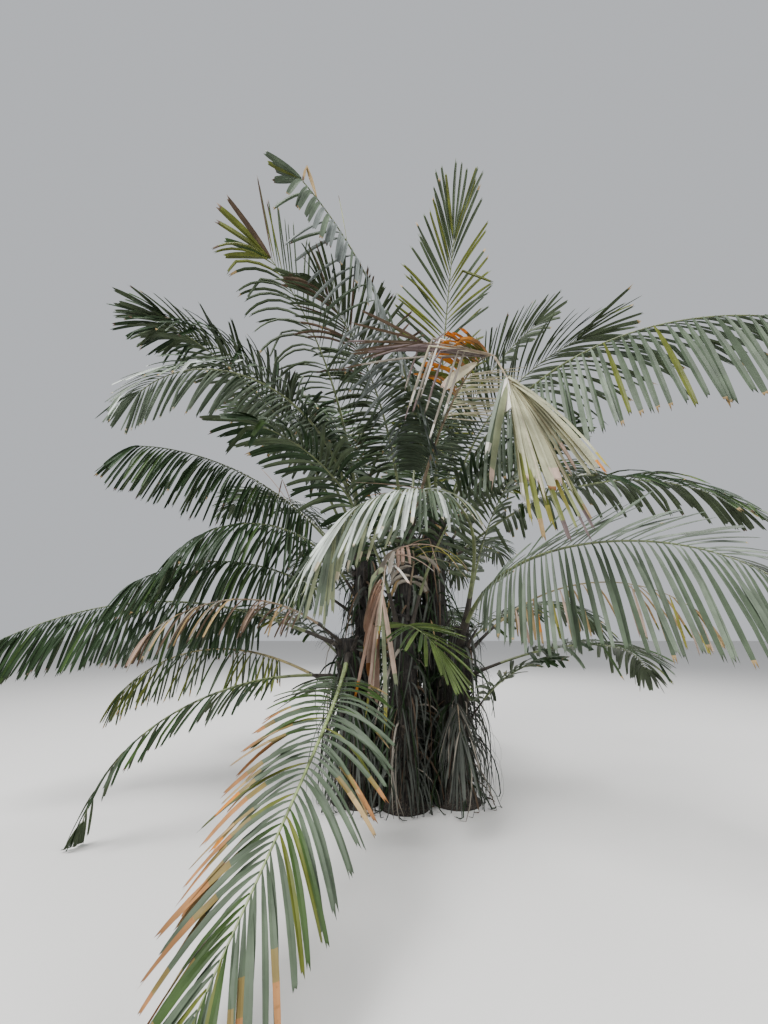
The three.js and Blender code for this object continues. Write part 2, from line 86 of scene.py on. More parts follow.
# Fronds set one by one. Columns: name, stem, drop of the root below the stem's top, azimuth, rise, bend,
# sweep, rib length, longest leaflet, share of it that the last leaflets keep, droop of the leaflets, looks
COLUMNS = (
    "name", "stem", "drop", "azimuth", "rise", "bend", "sweep", "length", "leaf", "tip", "droop", "looks",
)
CHOSEN = [
    ("tall_left", "right", 0.11, 259, 51, 16, -48, 3.19, 0.58, 0.6, 1.5, "green"),
    ("upper_mid", "right", 0.03, 277, 72, 25, -3, 2.71, 0.68, 0.85, 0.2, "green"),
    ("upper_right", "right", 0.17, 319, 70, 59, 8, 2.39, 0.66, 0.85, 0.5, "green"),
    ("right_high", "right", 0.29, 285, 44, 77, 39, 3.13, 0.70, 0.85, 1.0, "green"),
    ("broken_top", "middle", 0.05, 290, 58, 100, -18, 2.36, 0.44, 0.9, 0.9, "dead"),
    ("dark_mid", "middle", 0.03, 248, 71, 53, -16, 2.40, 0.66, 0.7, 0.6, "green"),
    ("upper_left", "left", 0.03, 251, 70, 35, -26, 2.82, 0.70, 0.85, 0.4, "green"),
    ("left_silver", "left", 0.14, 249, 65, 98, -89, 3.06, 0.62, 0.7, 0.6, "silver"),
    ("left_up", "left", 0.07, 220, 66, 59, -24, 2.95, 0.68, 0.7, 0.9, "green"),
    ("left_mid", "left", 0.30, 188, 52, 73, 50, 2.50, 0.66, 0.7, 0.9, "green"),
    ("silver_front", "front_right", 0.03, 284, 57, 107, -137, 2.39, 0.54, 1.0, 1.1, "silver"),
    ("right_long", "front_right", 0.13, 272, 34, 71, 100, 2.60, 0.66, 0.8, 1.1, "green"),
    ("right_tan", "front_right", 0.21, 355, 44, 87, -52, 1.95, 0.50, 0.7, 1.3, "tan"),
    ("right_fan", "front_right", 0.06, 318, 78, 35, 0, 1.65, 0.50, 0.9, 0.3, "green"),
    ("right_thin", "front_right", 0.40, 338, 23, 57, 74, 1.85, 0.45, 0.7, 0.8, "green"),
    ("foot_right", "front_right", 0.80, 314, 52, 36, 9, 0.88, 0.28, 0.8, 0.5, "green"),
    ("foot_dead", "front_right", 0.64, 262, 20, 70, 0, 0.62, 0.45, 1.0, 1.6, "dead"),
    ("pink_front", "front", 0.06, 306, 86, 150, -110, 1.10, 0.30, 0.7, 1.3, "dead"),
    ("young_green", "front", 0.18, 266, 21, 71, 60, 0.78, 0.38, 1.0, 0.3, "young"),
    ("big_low", "front_left", 0.12, 273, -10, 33, -26, 2.36, 0.50, 0.85, 0.6, "green"),
    ("left_low", "front_left", 0.05, 179, 22, 54, 27, 2.75, 0.62, 0.7, 0.8, "green"),
    ("dead_left", "front_left", 0.03, 225, 33, 77, -28, 1.60, 0.42, 0.7, 1.2, "dead"),
    ("low_left", "front_left", 0.30, 225, 7, 82, -70, 2.15, 0.34, 0.7, 0.9, "green"),
    ("left_olive", "front_left", 0.42, 180, 28, 75, -8, 2.10, 0.48, 0.7, 0.8, "tan"),
    ("left_dark", "left", 0.70, 206, 33, 66, -10, 2.05, 0.60, 0.7, 0.9, "green"),
    ("left_inner", "left", 0.58, 232, 48, 100, -59, 2.05, 0.58, 0.7, 0.8, "green"),
    ("centre_left", "front", 0.11, 236, 66, 68, -10, 2.10, 0.52, 0.7, 0.7, "green"),
    ("centre_right", "front", 0.13, 324, 72, 60, 8, 2.05, 0.52, 0.7, 0.6, "green"),
    ("low_right", "right", 1.45, 22, 44, 78, -10, 2.10, 0.52, 0.7, 0.9, "green"),
    ("low_back_right", "back", 1.00, 58, 46, 84, 12, 2.05, 0.50, 0.7, 0.9, "green"),
    ("low_back", "back", 1.18, 112, 38, 76, -12, 1.90, 0.48, 0.7, 0.8, "green"),
    ("low_back_left", "left", 1.25, 158, 44, 80, 10, 2.05, 0.50, 0.7, 0.9, "green"),
]

# Dead ends of broken fronds. Columns: name, the rib that carries it, azimuth, rise, bend, rib length,
# leaflet length, droop, whether the leaflets are fused
HANGING = [
    ("dead_fan_top", "broken_top", 290, -66, 6, 0.27, 0.80, 0.5, True),
    ("dead_fan_front", "pink_front", 218, -77, 6, 0.26, 0.76, 0.6, True),
    ("dead_spray", "broken_top", 184, 14, 14, 0.42, 0.46, 0.5, False),
]

# Dead strips set one by one, by the frond whose rib carries them. Columns: share along the rib, azimuth,
# rise, fall, where it kinks (1 is nowhere), length, width, roll of its face, tint, tint of its tip
LOOSE = {
    "broken_top": [
        (0.85, 200, -36, 0.4, 1.0, 0.40, 0.074, 75, "pale_tan", "pink_pale"),
        (0.94, 176, 20, 0.5, 1.0, 0.84, 0.034, 60, "mauve_dead", "brown_dead"),
        (0.92, 180, 16, 0.3, 1.0, 0.92, 0.018, 50, "brown_dead", "mauve_dead"),
        (0.90, 182, 12, 0.4, 1.0, 0.88, 0.020, 60, "mauve_dead", "brown_dead"),
        (0.91, 184, 2, 0.4, 1.0, 0.94, 0.014, 60, "grey_dead", "brown_dead"),
        (0.86, 190, 24, 0.5, 1.0, 0.50, 0.020, 50, "brown_dead", "mauve_dead"),
        (0.84, 186, 30, 0.6, 1.0, 0.44, 0.018, 50, "brown_dead", "brown_dead"),
        (0.93, 184, 20, 0.3, 0.26, 0.66, 0.024, 60, "grey_dead", "bleached"),
        (0.92, 194, 18, 0.4, 0.34, 0.80, 0.018, 60, "bleached", "grey_dead"),
        (0.91, 178, 16, 0.4, 0.42, 0.84, 0.020, 60, "grey_dead", "mauve_dead"),
        (0.95, 176, 22, 0.3, 0.30, 0.88, 0.020, 60, "grey_dead", "bleached"),
        (0.90, 198, 14, 0.4, 0.40, 0.92, 0.020, 60, "grey_dead", "bleached"),
        (0.93, 172, 20, 0.4, 0.50, 0.78, 0.016, 60, "mauve_dead", "grey_dead"),
        (0.94, 188, 10, 0.5, 0.46, 0.96, 0.016, 60, "pale_tan", "mauve_dead"),
        (0.92, 170, 12, 0.5, 0.34, 0.70, 0.018, 60, "mauve_dead", "grey_dead"),
    ],
    "dead_fan_top": [
        (0.80, 230, -80, 0.1, 1.0, 0.24, 0.080, 30, "bleached", "bleached"),
        (0.97, 200, -74, 0.1, 1.0, 0.66, 0.095, 66, "faded_green", "pink_pale"),
        (0.70, 180, -72, 0.2, 1.0, 0.52, 0.040, 80, "pale_green", "bleached"),
        (0.90, 290, -88, 0.1, 1.0, 0.72, 0.034, 0, "fan_cream", "bleached"),
        (0.95, 344, -44, 0.8, 1.0, 0.74, 0.034, 60, "fan_cream", "orange"),
        (0.80, 350, -38, 0.9, 1.0, 0.74, 0.026, 60, "fan_cream", "yellow"),
        (0.80, 300, -86, 0.1, 1.0, 0.86, 0.034, 0, "sallow", "faded_yellow"),
        (0.84, 345, -84, 0.1, 1.0, 0.96, 0.036, 70, "sallow", "tan"),
        (0.86, 350, -80, 0.1, 1.0, 0.88, 0.034, 70, "olive", "faded_yellow"),
        (0.88, 356, -76, 0.1, 1.0, 0.98, 0.040, 70, "sallow", "mauve_dead"),
        (0.90, 4, -71, 0.2, 1.0, 0.92, 0.042, 70, "faded_yellow", "sallow"),
        (0.92, 8, -67, 0.2, 1.0, 0.97, 0.038, 70, "sallow", "mauve_dead"),
        (0.94, 12, -63, 0.2, 1.0, 0.94, 0.040, 70, "olive", "mauve_dead"),
        (0.96, 14, -60, 0.3, 1.0, 0.90, 0.034, 70, "sallow", "tan"),
    ],
    "pink_front": [
        (0.86, 344, 22, 1.0, 1.0, 0.42, 0.024, 0, "pink_pale", "bleached"),
        (0.93, 322, 0, 0.9, 1.0, 0.40, 0.026, 0, "pink_pale", "bleached"),
        (0.98, 310, -30, 0.5, 1.0, 0.30, 0.036, 0, "bleached", "pink_pale"),
        (0.74, 350, 30, 1.1, 0.4, 0.46, 0.020, 0, "pink_brown", "orange"),
        (0.60, 340, 30, 1.8, 1.0, 0.52, 0.020, 0, "faded_yellow", "pink_brown"),
        (0.52, 352, 36, 1.8, 1.0, 0.54, 0.022, 0, "faded_yellow", "tan"),
        (0.66, 326, 24, 1.9, 1.0, 0.48, 0.020, 0, "faded_yellow", "tan"),
        (0.45, 8, 34, 1.6, 1.0, 0.54, 0.022, 0, "faded_green", "pale_tan"),
    ],
    "dead_fan_front": [
        (0.60, 214, -82, 0.1, 1.0, 0.84, 0.042, 60, "pink_pale", "faded_yellow"),
        (0.66, 204, -74, 0.2, 1.0, 0.74, 0.046, 60, "pink_brown", "orange"),
        (0.80, 300, -84, 0.1, 1.0, 0.86, 0.036, 0, "faded_green", "faded_yellow"),
        (0.70, 340, -80, 0.1, 1.0, 0.66, 0.036, 60, "pink_pale", "faded_green"),
    ],
    "tall_left": [
        (0.95, 220, 70, 0.4, 0.5, 0.44, 0.034, 60, "tan", "brown_dead"),
        (0.84, 200, 80, 0.0, 1.0, 0.48, 0.012, 0, "olive", "brown_dead"),
    ],
    "silver_front": [
        (0.60, 20, 20, 2.6, 1.0, 0.38, 0.022, 0, "faded_green", "bleached"),
        (0.64, 6, 16, 2.6, 1.0, 0.40, 0.022, 0, "silver", "pale_tan"),
        (0.68, 350, 14, 2.4, 1.0, 0.40, 0.020, 0, "faded_green", "pale_tan"),
        (0.70, 340, 10, 2.2, 1.0, 0.38, 0.020, 0, "silver", "bleached"),
        (0.66, 176, 14, 0.2, 1.0, 0.55, 0.014, 0, "pink_brown", "pink_pale"),
        (0.64, 170, 10, 0.3, 1.0, 0.52, 0.012, 0, "pink_brown", "orange"),
    ],
    "left_mid": [
        (0.42, 150, 50, 0.2, 1.0, 0.62, 0.014, 60, "pink_pale", "pink_pale"),
        (0.40, 180, 70, 0.4, 0.5, 0.50, 0.016, 60, "pink_brown", "pale_tan"),
    ],
}

# How far beyond the end of the rib that carries it a hanging part starts
HANGING_SEAT = 0.02

# Fronds of the hidden sides, by rule. Columns: stem, azimuth it faces, fronds, length. They turn to the
# sides by the golden share of the spread, from the young that stand up to the old that hang low, and one
# that meets a rib or a stem steps aside until it is clear.
RULED = [
    ("middle", 95, 4, 2.75),
    ("right", 22, 4, 2.80),
    ("left", 160, 4, 2.75),
    ("back", 90, 5, 2.65),
]
RULED_SPREAD = 72
GOLDEN = 0.618
YOUNG = {"drop": 0.045, "rise": 80, "bend": 45, "droop": 0.3}
OLD = {"drop": 0.47, "rise": 38, "bend": 72, "droop": 1.0}
RULED_SWEEP = 14
RULED_LEAF = 0.23
RULED_TIP = 0.7
RULED_SHORTEST = 0.92
RULED_LONGEST = 1.08
SETTLE_STEP = 8
SETTLE_TRIES = 12

# Nodes that are the far half of a split frond
SPLIT_NODES = {"silver_front": "frond_silver_front_tip"}

# Rows of leaflets: how their angle and length change along the rib, and how far chance moves them
ANGLE_CURVE = 1.3
BASE_CUT_CURVE = 1.5
LEAST_PAIRS = 6
PLACE_SCATTER = 0.14
ANGLE_SCATTER = 2.2
LENGTH_SPREAD = (0.90, 1.0)
WIDTH_SPREAD = (0.88, 1.1)
WIDTH_ALONG = (1.05, 0.9)
END_ANGLE_SCATTER = 1.5
END_LENGTH_SPREAD = (0.82, 1.0)
END_WIDTH_SPREAD = (0.8, 1.1)

# How a leaflet leaves the rib: its seat in shares of the rib's width, its lift out of the rows, and the
# places where it may snap. Leaflets that head nearly along the rib are laid level with it.
SEAT_ASIDE = 0.32
SEAT_UNDER = 0.1
VALLEY_SCATTER = 6
DROOP_SPREAD = 0.25
FUSED_DROOP_SPREAD = 0.05
KINK_PLACES = (0.4, 0.7)
ALONG_RIB = 12
FUSED_CALM = 0.15
LOOSE_CALM = 0.5

# One leaflet: a folded strip with its corners, stations and outline, the lap of fused ones, the weight of
# its fall, the random turns of its blade in degrees, its thinning to the tip, and its bitten end
CORNERS = 4
SPAN_FACES = 2 * CORNERS
ACROSS = np.array([0.0, 0.5, 1.0, 0.5])
STATIONS = np.array([0.0, 0.08, 0.22, 0.40, 0.58, 0.74, 0.87, 0.95, 1.0])
OUTLINE = np.array([0.22, 0.50, 0.80, 0.97, 1.00, 0.94, 0.82, 0.70, 0.48])
FUSED_OUTLINE = np.array([1.0, 1.0, 1.0, 0.80, 0.60, 0.50, 0.44, 0.36, 0.22])
STRIDES = np.diff(STATIONS)
MIDDLES = (STATIONS[1:] + STATIONS[:-1]) / 2
FUSED_LAP = 1.9
KINKED_FALL = 3.0
FALL = 1.15
SWAY = 0.10
TWIST = 16
ROOT_TWIST = 7
FOLD_SCATTER = 0.06
TIP_THINNING = 0.55
BITE = 0.045
BITE_EDGES = (-0.6, 1)
BITE_MIDRIB = 0.8
LEAST_HEIGHT = 0.005
LEAST_AXIS_HEIGHT = 3 * LEAST_HEIGHT

# How a frond's leaflets are carried, unless HABITS says otherwise. A pair gives the row on the rib's right
# and then the row on its left, and one number both.
HABIT = {
    # Rise out of the rib's plane and angle to the rib at the petiole, in degrees, and the weight of the
    # fall with how early it sets in (the power of the share run)
    "valley": 18, "angle": 78, "droop": 1, "arch": 0.8,
    # Shares of kinked and of missing leaflets, and where along the blade they start to be missing
    "kinked": 0.08, "missing": 0.02, "missing_from": 0.12,
    # Width, how close they stand, and where they begin and stop
    "width": 1, "crowd": 1.0, "bare": 0.0, "stop": 1,
    # The shortening at the petiole, the place of the longest ones, and the tint of the rib
    "short": 0.38, "longest": 0.38, "rib": None,
    # The last angle, the end's pairs of broad leaflets with their spread, width, length and fall, the rows
    # that have them, and how far the last leaflet turns to the right
    "end_angle": 24, "end": (2, 26, 1.4, 1.0, 0.6), "end_rows": 1, "lead": 0,
    # A fused fan: first and last angle of each row, where it begins, its pairs of leaflets, the length of
    # the outermost ones and how even they are
    "fan": ((32, 4), (32, 4)), "begin": 0.05, "pairs": 8, "outermost": 0.9, "even": 0.8,
}
HABITS = {
    "tall_left": {
        "droop": (0.9, 2.4), "arch": (0.5, 0.35), "valley": (6, -10), "missing": (0.55, 0.0),
        "missing_from": 0.5, "width": (0.7, 1.15), "end": (5, 34, 1.8, 0.92, 0.05), "end_rows": (1, 0),
        "lead": 12,
    },
    "upper_mid": {
        "valley": 26, "missing": (0.12, 0.22), "kinked": (0.0, 0.04), "width": 0.72, "end_angle": 14,
        "end": (3, 22, 1.0, 1.0, 0.3),
    },
    "upper_right": {"end_angle": 18, "width": 0.8, "end": (3, 30, 1.0, 1.0, 0.4)},
    "upper_left": {
        "valley": (10, 50), "kinked": (0.2, 0.0), "droop": (3.2, 0.0), "arch": (1.6, 1.0),
        "width": (0.7, 0.42), "angle": (78, 44), "end": (4, 52, 2.2, 1.0, 0.1), "missing": (0.1, 0.15),
        "end_rows": (1, 0),
    },
    "dark_mid": {"valley": (30, 34), "width": 0.75, "crowd": 1.6, "end": (2, 20, 1.1, 0.8, 1.5)},
    "broken_top": {
        "valley": (36, 0), "kinked": 0.0, "droop": (0.9, 0.1), "width": (0.95, 0.45),
        "stop": (0.93, 0.68), "angle": (72, 90), "end_angle": 60, "crowd": 2.0,
    },
    "dead_fan_top": {"fan": ((12, 0), (50, 1)), "begin": 0.8},
    "dead_fan_front": {
        "fan": ((80, 0), (8, 1)), "droop": (8.5, 0.3), "arch": (1.0, 0.8), "pairs": 6, "outermost": 0.6,
        "even": 0.75,
    },
    "dead_spray": {
        "kinked": 0.3, "missing": 0.7, "droop": (0.6, 0.3), "width": 0.36, "angle": 24, "end_angle": 8,
    },
    "left_silver": {"valley": 10, "width": 0.7, "droop": 1.8},
    "left_up": {"width": 0.75, "crowd": 1.25},
    "silver_front": {
        "valley": 4, "arch": 0.4, "droop": 1.3, "bare": 0.46, "width": 0.62, "crowd": 1.9,
        "end": (6, 44, 1.4, 1.2, 0.8), "end_angle": 34, "longest": 0.9, "short": 0.6,
    },
    "right_long": {
        "valley": (24, 34), "droop": (4.2, 0.15), "arch": (0.35, 1.0), "kinked": (0.03, 0.0),
        "width": (0.76, 0.66), "crowd": 1.22, "short": 0.62,
    },
    "right_high": {"valley": (16, 20), "droop": (5.5, 0.9), "arch": (0.2, 0.8), "width": (0.9, 0.6)},
    "right_tan": {
        "valley": (-10, 10), "droop": (3.4, 1.8), "arch": (0.3, 0.5), "missing": 0.45,
        "width": (0.6, 0.5),
    },
    "left_mid": {"valley": (10, 6), "droop": (2.8, 2.0), "arch": 0.4, "width": 0.62, "crowd": 1.35},
    "left_low": {"valley": 4, "droop": (3.2, 3.0), "arch": 0.35, "width": 0.66, "crowd": 1.3},
    "left_olive": {"droop": 3.0, "arch": 0.4, "width": 0.5, "crowd": 1.2, "missing": 0.2},
    "left_dark": {"droop": 2.2, "arch": 0.5, "width": 0.6, "crowd": 1.3},
    "left_inner": {"droop": 2.4, "arch": 0.5, "width": 0.6, "crowd": 1.3},
    "low_left": {"width": 0.5, "droop": 1.6, "arch": 0.5, "angle": 34, "missing": 0.45},
    "foot_dead": {"valley": 0, "droop": 1.6, "arch": 0.3, "width": 0.5, "crowd": 1.6},
    "pink_front": {"droop": 1.2, "kinked": 0.5, "missing": 0.6},
    "dead_left": {
        "droop": 2.0, "arch": 0.8, "kinked": 0.1, "missing": 0.5, "width": 0.4, "angle": 34,
        "end_angle": 16,
    },
    "young_green": {
        "valley": 6, "kinked": 0, "missing": 0, "width": 0.7, "crowd": 1.2,
        "end": (3, 24, 1.1, 1.0, 0.3),
    },
    "big_low": {
        "valley": (22, 18), "droop": (1.3, 1.4), "kinked": 0, "missing": 0, "width": (0.8, 0.7),
        "rib": "rib_young", "crowd": 1.35,
    },
}

# Colours of the leaf finishes, linear red, green and blue
LEAF_COLOURS = {
    "deep": (0.014, 0.029, 0.010),
    "mid": (0.030, 0.056, 0.014),
    "olive": (0.086, 0.100, 0.017),
    "grey_green": (0.061, 0.082, 0.052),
    "pale_green": (0.116, 0.144, 0.104),
    "slate": (0.116, 0.132, 0.122),
    "silver": (0.410, 0.448, 0.405),
    # The lower faces' own green, darkened with painted shade from the light above
    "underside": (0.044, 0.060, 0.030),
    "yellow_green": (0.084, 0.122, 0.034),
    "faded_yellow": (0.240, 0.225, 0.050),
    "sallow": (0.190, 0.215, 0.060),
    "faded_green": (0.225, 0.250, 0.150),
    "tan": (0.300, 0.210, 0.100),
    "pale_tan": (0.460, 0.410, 0.290),
    "bleached": (0.600, 0.570, 0.515),
    "pink_pale": (0.500, 0.370, 0.295),
    "pink_brown": (0.290, 0.196, 0.150),
    "mauve_dead": (0.140, 0.104, 0.100),
    "orange": (0.460, 0.170, 0.022),
    "turning": (0.150, 0.112, 0.038),
    "rust": (0.260, 0.125, 0.048),
    "fan_cream": (0.345, 0.340, 0.222),
    "yellow": (0.380, 0.310, 0.050),
    "grey_dead": (0.230, 0.205, 0.170),
    "brown_dead": (0.085, 0.058, 0.038),
    "dusty": (0.060, 0.066, 0.056),
}
# Tints with the dull finish and dark spots of dry leaf
DRY = {
    "faded_yellow", "tan", "pale_tan", "bleached", "pink_pale", "pink_brown", "mauve_dead", "orange",
    "yellow", "grey_dead", "brown_dead", "dusty", "rust", "fan_cream",
}

# A dry tip of more than SHORT_TIP faces starts with the turning tint. A loose strip's tip starts LOOSE_TIP
# stations from its end, and a leaflet's is up to TIP_SPREAD faces shorter than its palette's.
SHORT_TIP = 2
LOOSE_TIP = 3
TIP_SPREAD = 2

# Tints by looks or by frond, as shares of each tint or as rules with shares. Each rule: row (1 right, -1
# left, 0 both), from and to along the blade, share of each tint. "top" and "under" are the upper and the
# lower face, and "tips" the last faces of a leaflet, at most as many as "tip_faces". PALETTE has what the
# others leave out.
PALETTE = {"under": {"underside": 1}, "tips": {None: 1}, "tip_faces": 1}
PALETTES = {
    "green": {
        "top": {"deep": 0.5, "mid": 0.26, "grey_green": 0.18, "olive": 0.06},
        "tips": {None: 0.84, "tan": 0.06, "brown_dead": 0.1},
    },
    "silver": {
        "top": [(0, 0, 0.5, {"grey_green": 0.6, "mid": 0.3, "silver": 0.1}),
                (0, 0.5, 1, {"silver": 0.5, "pale_green": 0.2, "grey_green": 0.3})],
        "under": {"pale_green": 0.6, "grey_green": 0.4},
        "tips": {None: 0.7, "tan": 0.2, "pale_tan": 0.1},
    },
    "young": {
        "top": {"yellow_green": 0.8, "olive": 0.2},
        "under": {"yellow_green": 1},
    },
    "tan": {
        "top": {"olive": 0.35, "grey_green": 0.25, "tan": 0.3, "orange": 0.1},
        "under": {"tan": 1},
        "tips": {None: 0.3, "tan": 0.4, "orange": 0.3},
        "tip_faces": 4,
    },
    "dead": {
        "top": {"grey_dead": 0.45, "tan": 0.3, "pink_brown": 0.15, "brown_dead": 0.1},
        "under": {"grey_dead": 1},
        "tips": {None: 0.6, "brown_dead": 0.4},
        "tip_faces": 2,
    },
    "tall_left": {
        "top": [(-1, 0, 0.9, {"slate": 0.6, "grey_green": 0.4}), (1, 0, 0.5, {"mid": 0.6, "olive": 0.4}),
                (1, 0.5, 0.9, {"grey_green": 0.5, "olive": 0.5}),
                (0, 0.9, 1, {"olive": 0.3, "grey_green": 0.7})],
        "under": [(0, 0, 0.9, {"slate": 0.6, "grey_green": 0.4}),
                  (0, 0.9, 1, {"grey_green": 0.7, "olive": 0.3})],
        "tips": [(0, 0, 0.75, {None: 0.85, "tan": 0.15}),
                 (0, 0.75, 1, {None: 0.5, "tan": 0.2, "brown_dead": 0.3})],
    },
    "upper_left": {
        "top": [(0, 0, 0.9, {"mid": 0.5, "deep": 0.4, "olive": 0.1}),
                (0, 0.9, 1, {"olive": 0.55, "mid": 0.45})],
        "under": [(0, 0, 0.9, {"underside": 1}),
                  (0, 0.9, 1, {"olive": 0.5, "mid": 0.4, "brown_dead": 0.1})],
        "tips": [(0, 0, 0.9, {None: 0.85, "tan": 0.15}), (0, 0.9, 1, {None: 0.4, "brown_dead": 0.6})],
        "tip_faces": 2,
    },
    "upper_mid": {
        "top": [(1, 0, 1, {"mid": 0.7, "olive": 0.3}),
                (-1, 0, 0.6, {"olive": 0.6, "faded_yellow": 0.15, "mid": 0.25}),
                (-1, 0.6, 1, {"mid": 0.5, "olive": 0.5})],
        "under": [(1, 0, 1, {"underside": 0.7, "olive": 0.3}),
                  (-1, 0, 1, {"underside": 0.4, "olive": 0.6})],
        "tips": {None: 0.85, "tan": 0.15},
    },
    "dark_mid": {
        "top": [(0, 0, 0.5, {"deep": 0.8, "mid": 0.2}),
                (0, 0.5, 1, {"deep": 0.6, "brown_dead": 0.12, "olive": 0.28})],
        "under": [(0, 0, 0.5, {"underside": 1}), (0, 0.5, 1, {"underside": 0.85, "brown_dead": 0.15})],
        "tips": {None: 0.8, "brown_dead": 0.2},
        "tip_faces": 2,
    },
    "upper_right": {
        "top": {"mid": 0.6, "olive": 0.4},
        "tips": {None: 0.85, "tan": 0.15},
    },
    "right_high": {
        "top": {"pale_green": 0.28, "grey_green": 0.64, "olive": 0.08},
        "under": {"grey_green": 0.55, "underside": 0.45},
        "tips": {None: 0.7, "tan": 0.3},
    },
    "right_long": {
        "top": {"pale_green": 0.5, "grey_green": 0.5},
        "under": {"grey_green": 1},
        "tips": {None: 0.85, "tan": 0.15},
    },
    "silver_front": {
        "top": [(0, 0, 0.62, {"grey_green": 0.5, "pale_green": 0.3, "silver": 0.2}),
                (0, 0.62, 0.9, {"silver": 0.8, "pale_green": 0.2}), (0, 0.9, 1, {"silver": 1})],
        "under": [(0, 0, 0.6, {"pale_green": 0.5, "grey_green": 0.5}),
                  (0, 0.6, 1, {"faded_green": 0.5, "pale_green": 0.5})],
        "tips": [(0, 0, 0.9, {None: 0.8, "pale_tan": 0.2}), (0, 0.9, 1, {"faded_green": 0.6, None: 0.4})],
        "tip_faces": 2,
    },
    "young_green": {
        "top": [(0, 0, 0.9, {"yellow_green": 0.5, "mid": 0.5}), (0, 0.9, 1, {"yellow_green": 1})],
        "under": {"yellow_green": 1},
    },
    "big_low": {
        "top": [(0, 0, 0.3, {"grey_green": 0.7, "mid": 0.3}),
                (0, 0.3, 1, {"grey_green": 0.7, "mid": 0.2, "olive": 0.1})],
        "tips": [(0, 0, 0.25, {None: 0.9, "tan": 0.1}),
                 (1, 0.2, 1, {None: 0.08, "rust": 0.55, "orange": 0.12, "tan": 0.25}),
                 (-1, 0.25, 1, {None: 0.74, "rust": 0.14, "tan": 0.12})],
        "tip_faces": 5,
    },
    "right_tan": {
        "top": {"pink_pale": 0.3, "tan": 0.25, "faded_yellow": 0.2, "orange": 0.15, "pink_brown": 0.1},
        "under": {"tan": 1},
        "tips": {None: 0.5, "tan": 0.3, "olive": 0.2},
        "tip_faces": 3,
    },
    "left_olive": {
        "top": {"olive": 0.5, "mid": 0.3, "grey_green": 0.2},
        "tips": {None: 0.7, "tan": 0.3},
        "tip_faces": 2,
    },
    "broken_top": {
        "top": [(1, 0, 0.5, {"olive": 0.5, "mid": 0.5}),
                (1, 0.5, 1, {"olive": 0.3, "rust": 0.4, "orange": 0.3}),
                (-1, 0, 0.35, {"mid": 0.6, "grey_green": 0.4}),
                (-1, 0.35, 1, {"fan_cream": 0.7, "pale_tan": 0.3})],
        "under": [(1, 0, 0.5, {"grey_green": 1}), (1, 0.5, 1, {"olive": 0.5, "rust": 0.5}),
                  (-1, 0, 0.35, {"grey_green": 1}), (-1, 0.35, 1, {"pale_tan": 0.6, "fan_cream": 0.4})],
        "tips": [(-1, 0, 1, {None: 1}), (1, 0, 0.5, {None: 1}), (1, 0.5, 0.62, {None: 0.6, "orange": 0.4}),
                 (1, 0.62, 1, {"orange": 0.8, "rust": 0.2})],
        "tip_faces": 6,
    },
    "dead_spray": {
        "top": {"mauve_dead": 0.5, "brown_dead": 0.5},
        "under": {"mauve_dead": 0.5, "brown_dead": 0.5},
        "tips": {None: 0.7, "brown_dead": 0.3},
        "tip_faces": 2,
    },
    "dead_fan_top": {
        "top": {"fan_cream": 0.8, "pale_tan": 0.2},
        "under": {"pale_tan": 1},
        "tips": [(1, 0, 1, {"pink_pale": 0.3, None: 0.7}),
                 (-1, 0, 1, {"rust": 0.4, "pink_pale": 0.4, None: 0.2})],
        "tip_faces": 3,
    },
    "dead_fan_front": {
        "top": [(1, 0, 0.3, {"grey_green": 0.5, "faded_green": 0.5}),
                (1, 0.3, 1, {"pink_brown": 0.3, "pink_pale": 0.7}),
                (-1, 0, 1, {"pink_pale": 0.6, "faded_green": 0.4})],
        "under": {"pink_pale": 0.7, "faded_green": 0.3},
        "tips": [(0, 0, 1, {"rust": 0.3, "faded_yellow": 0.3, None: 0.4}),
                 (1, 0, 0.3, {None: 0.8, "faded_yellow": 0.2})],
        "tip_faces": 2,
    },
    "dead_left": {
        "top": {"tan": 0.15, "pink_brown": 0.25, "brown_dead": 0.45, "grey_dead": 0.15},
        "under": {"brown_dead": 0.8, "tan": 0.2},
        "tips": {None: 0.6, "brown_dead": 0.4},
        "tip_faces": 2,
    },
    "shaded": {
        "top": {"deep": 0.8, "mid": 0.12, "grey_green": 0.08},
        "under": {"underside": 0.4, "deep": 0.6},
        "tips": {None: 0.84, "tan": 0.04, "brown_dead": 0.12},
    },
    "foot_dead": {
        "top": {"dusty": 0.8, "grey_dead": 0.2},
        "under": {"dusty": 1},
    },
}

# Fronds of the shaded side take the darker palette
SHADED = ("left_mid", "left_low", "left_dark", "left_inner", "left_up", "centre_left", "centre_right")
PALETTES.update({name: PALETTES["shaded"] for name in SHADED})

# Colour and roughness of the ribs, their finish by looks, and how far the dark scurf covers them
RIB_COLOURS = {
    "rib_green": ((0.095, 0.115, 0.045), 0.42),
    "rib_young": ((0.170, 0.215, 0.085), 0.40),
    "rib_tan": ((0.230, 0.185, 0.080), 0.55),
    "rib_dead": ((0.210, 0.160, 0.105), 0.75),
    "rib_scurf": ((0.030, 0.024, 0.018), 0.80),
}
RIB_TINTS = {
    "green": "rib_green", "silver": "rib_green", "young": "rib_young", "tan": "rib_tan", "dead": "rib_dead",
}
SCURF_REACH = 0.30


# Settings that a user would change


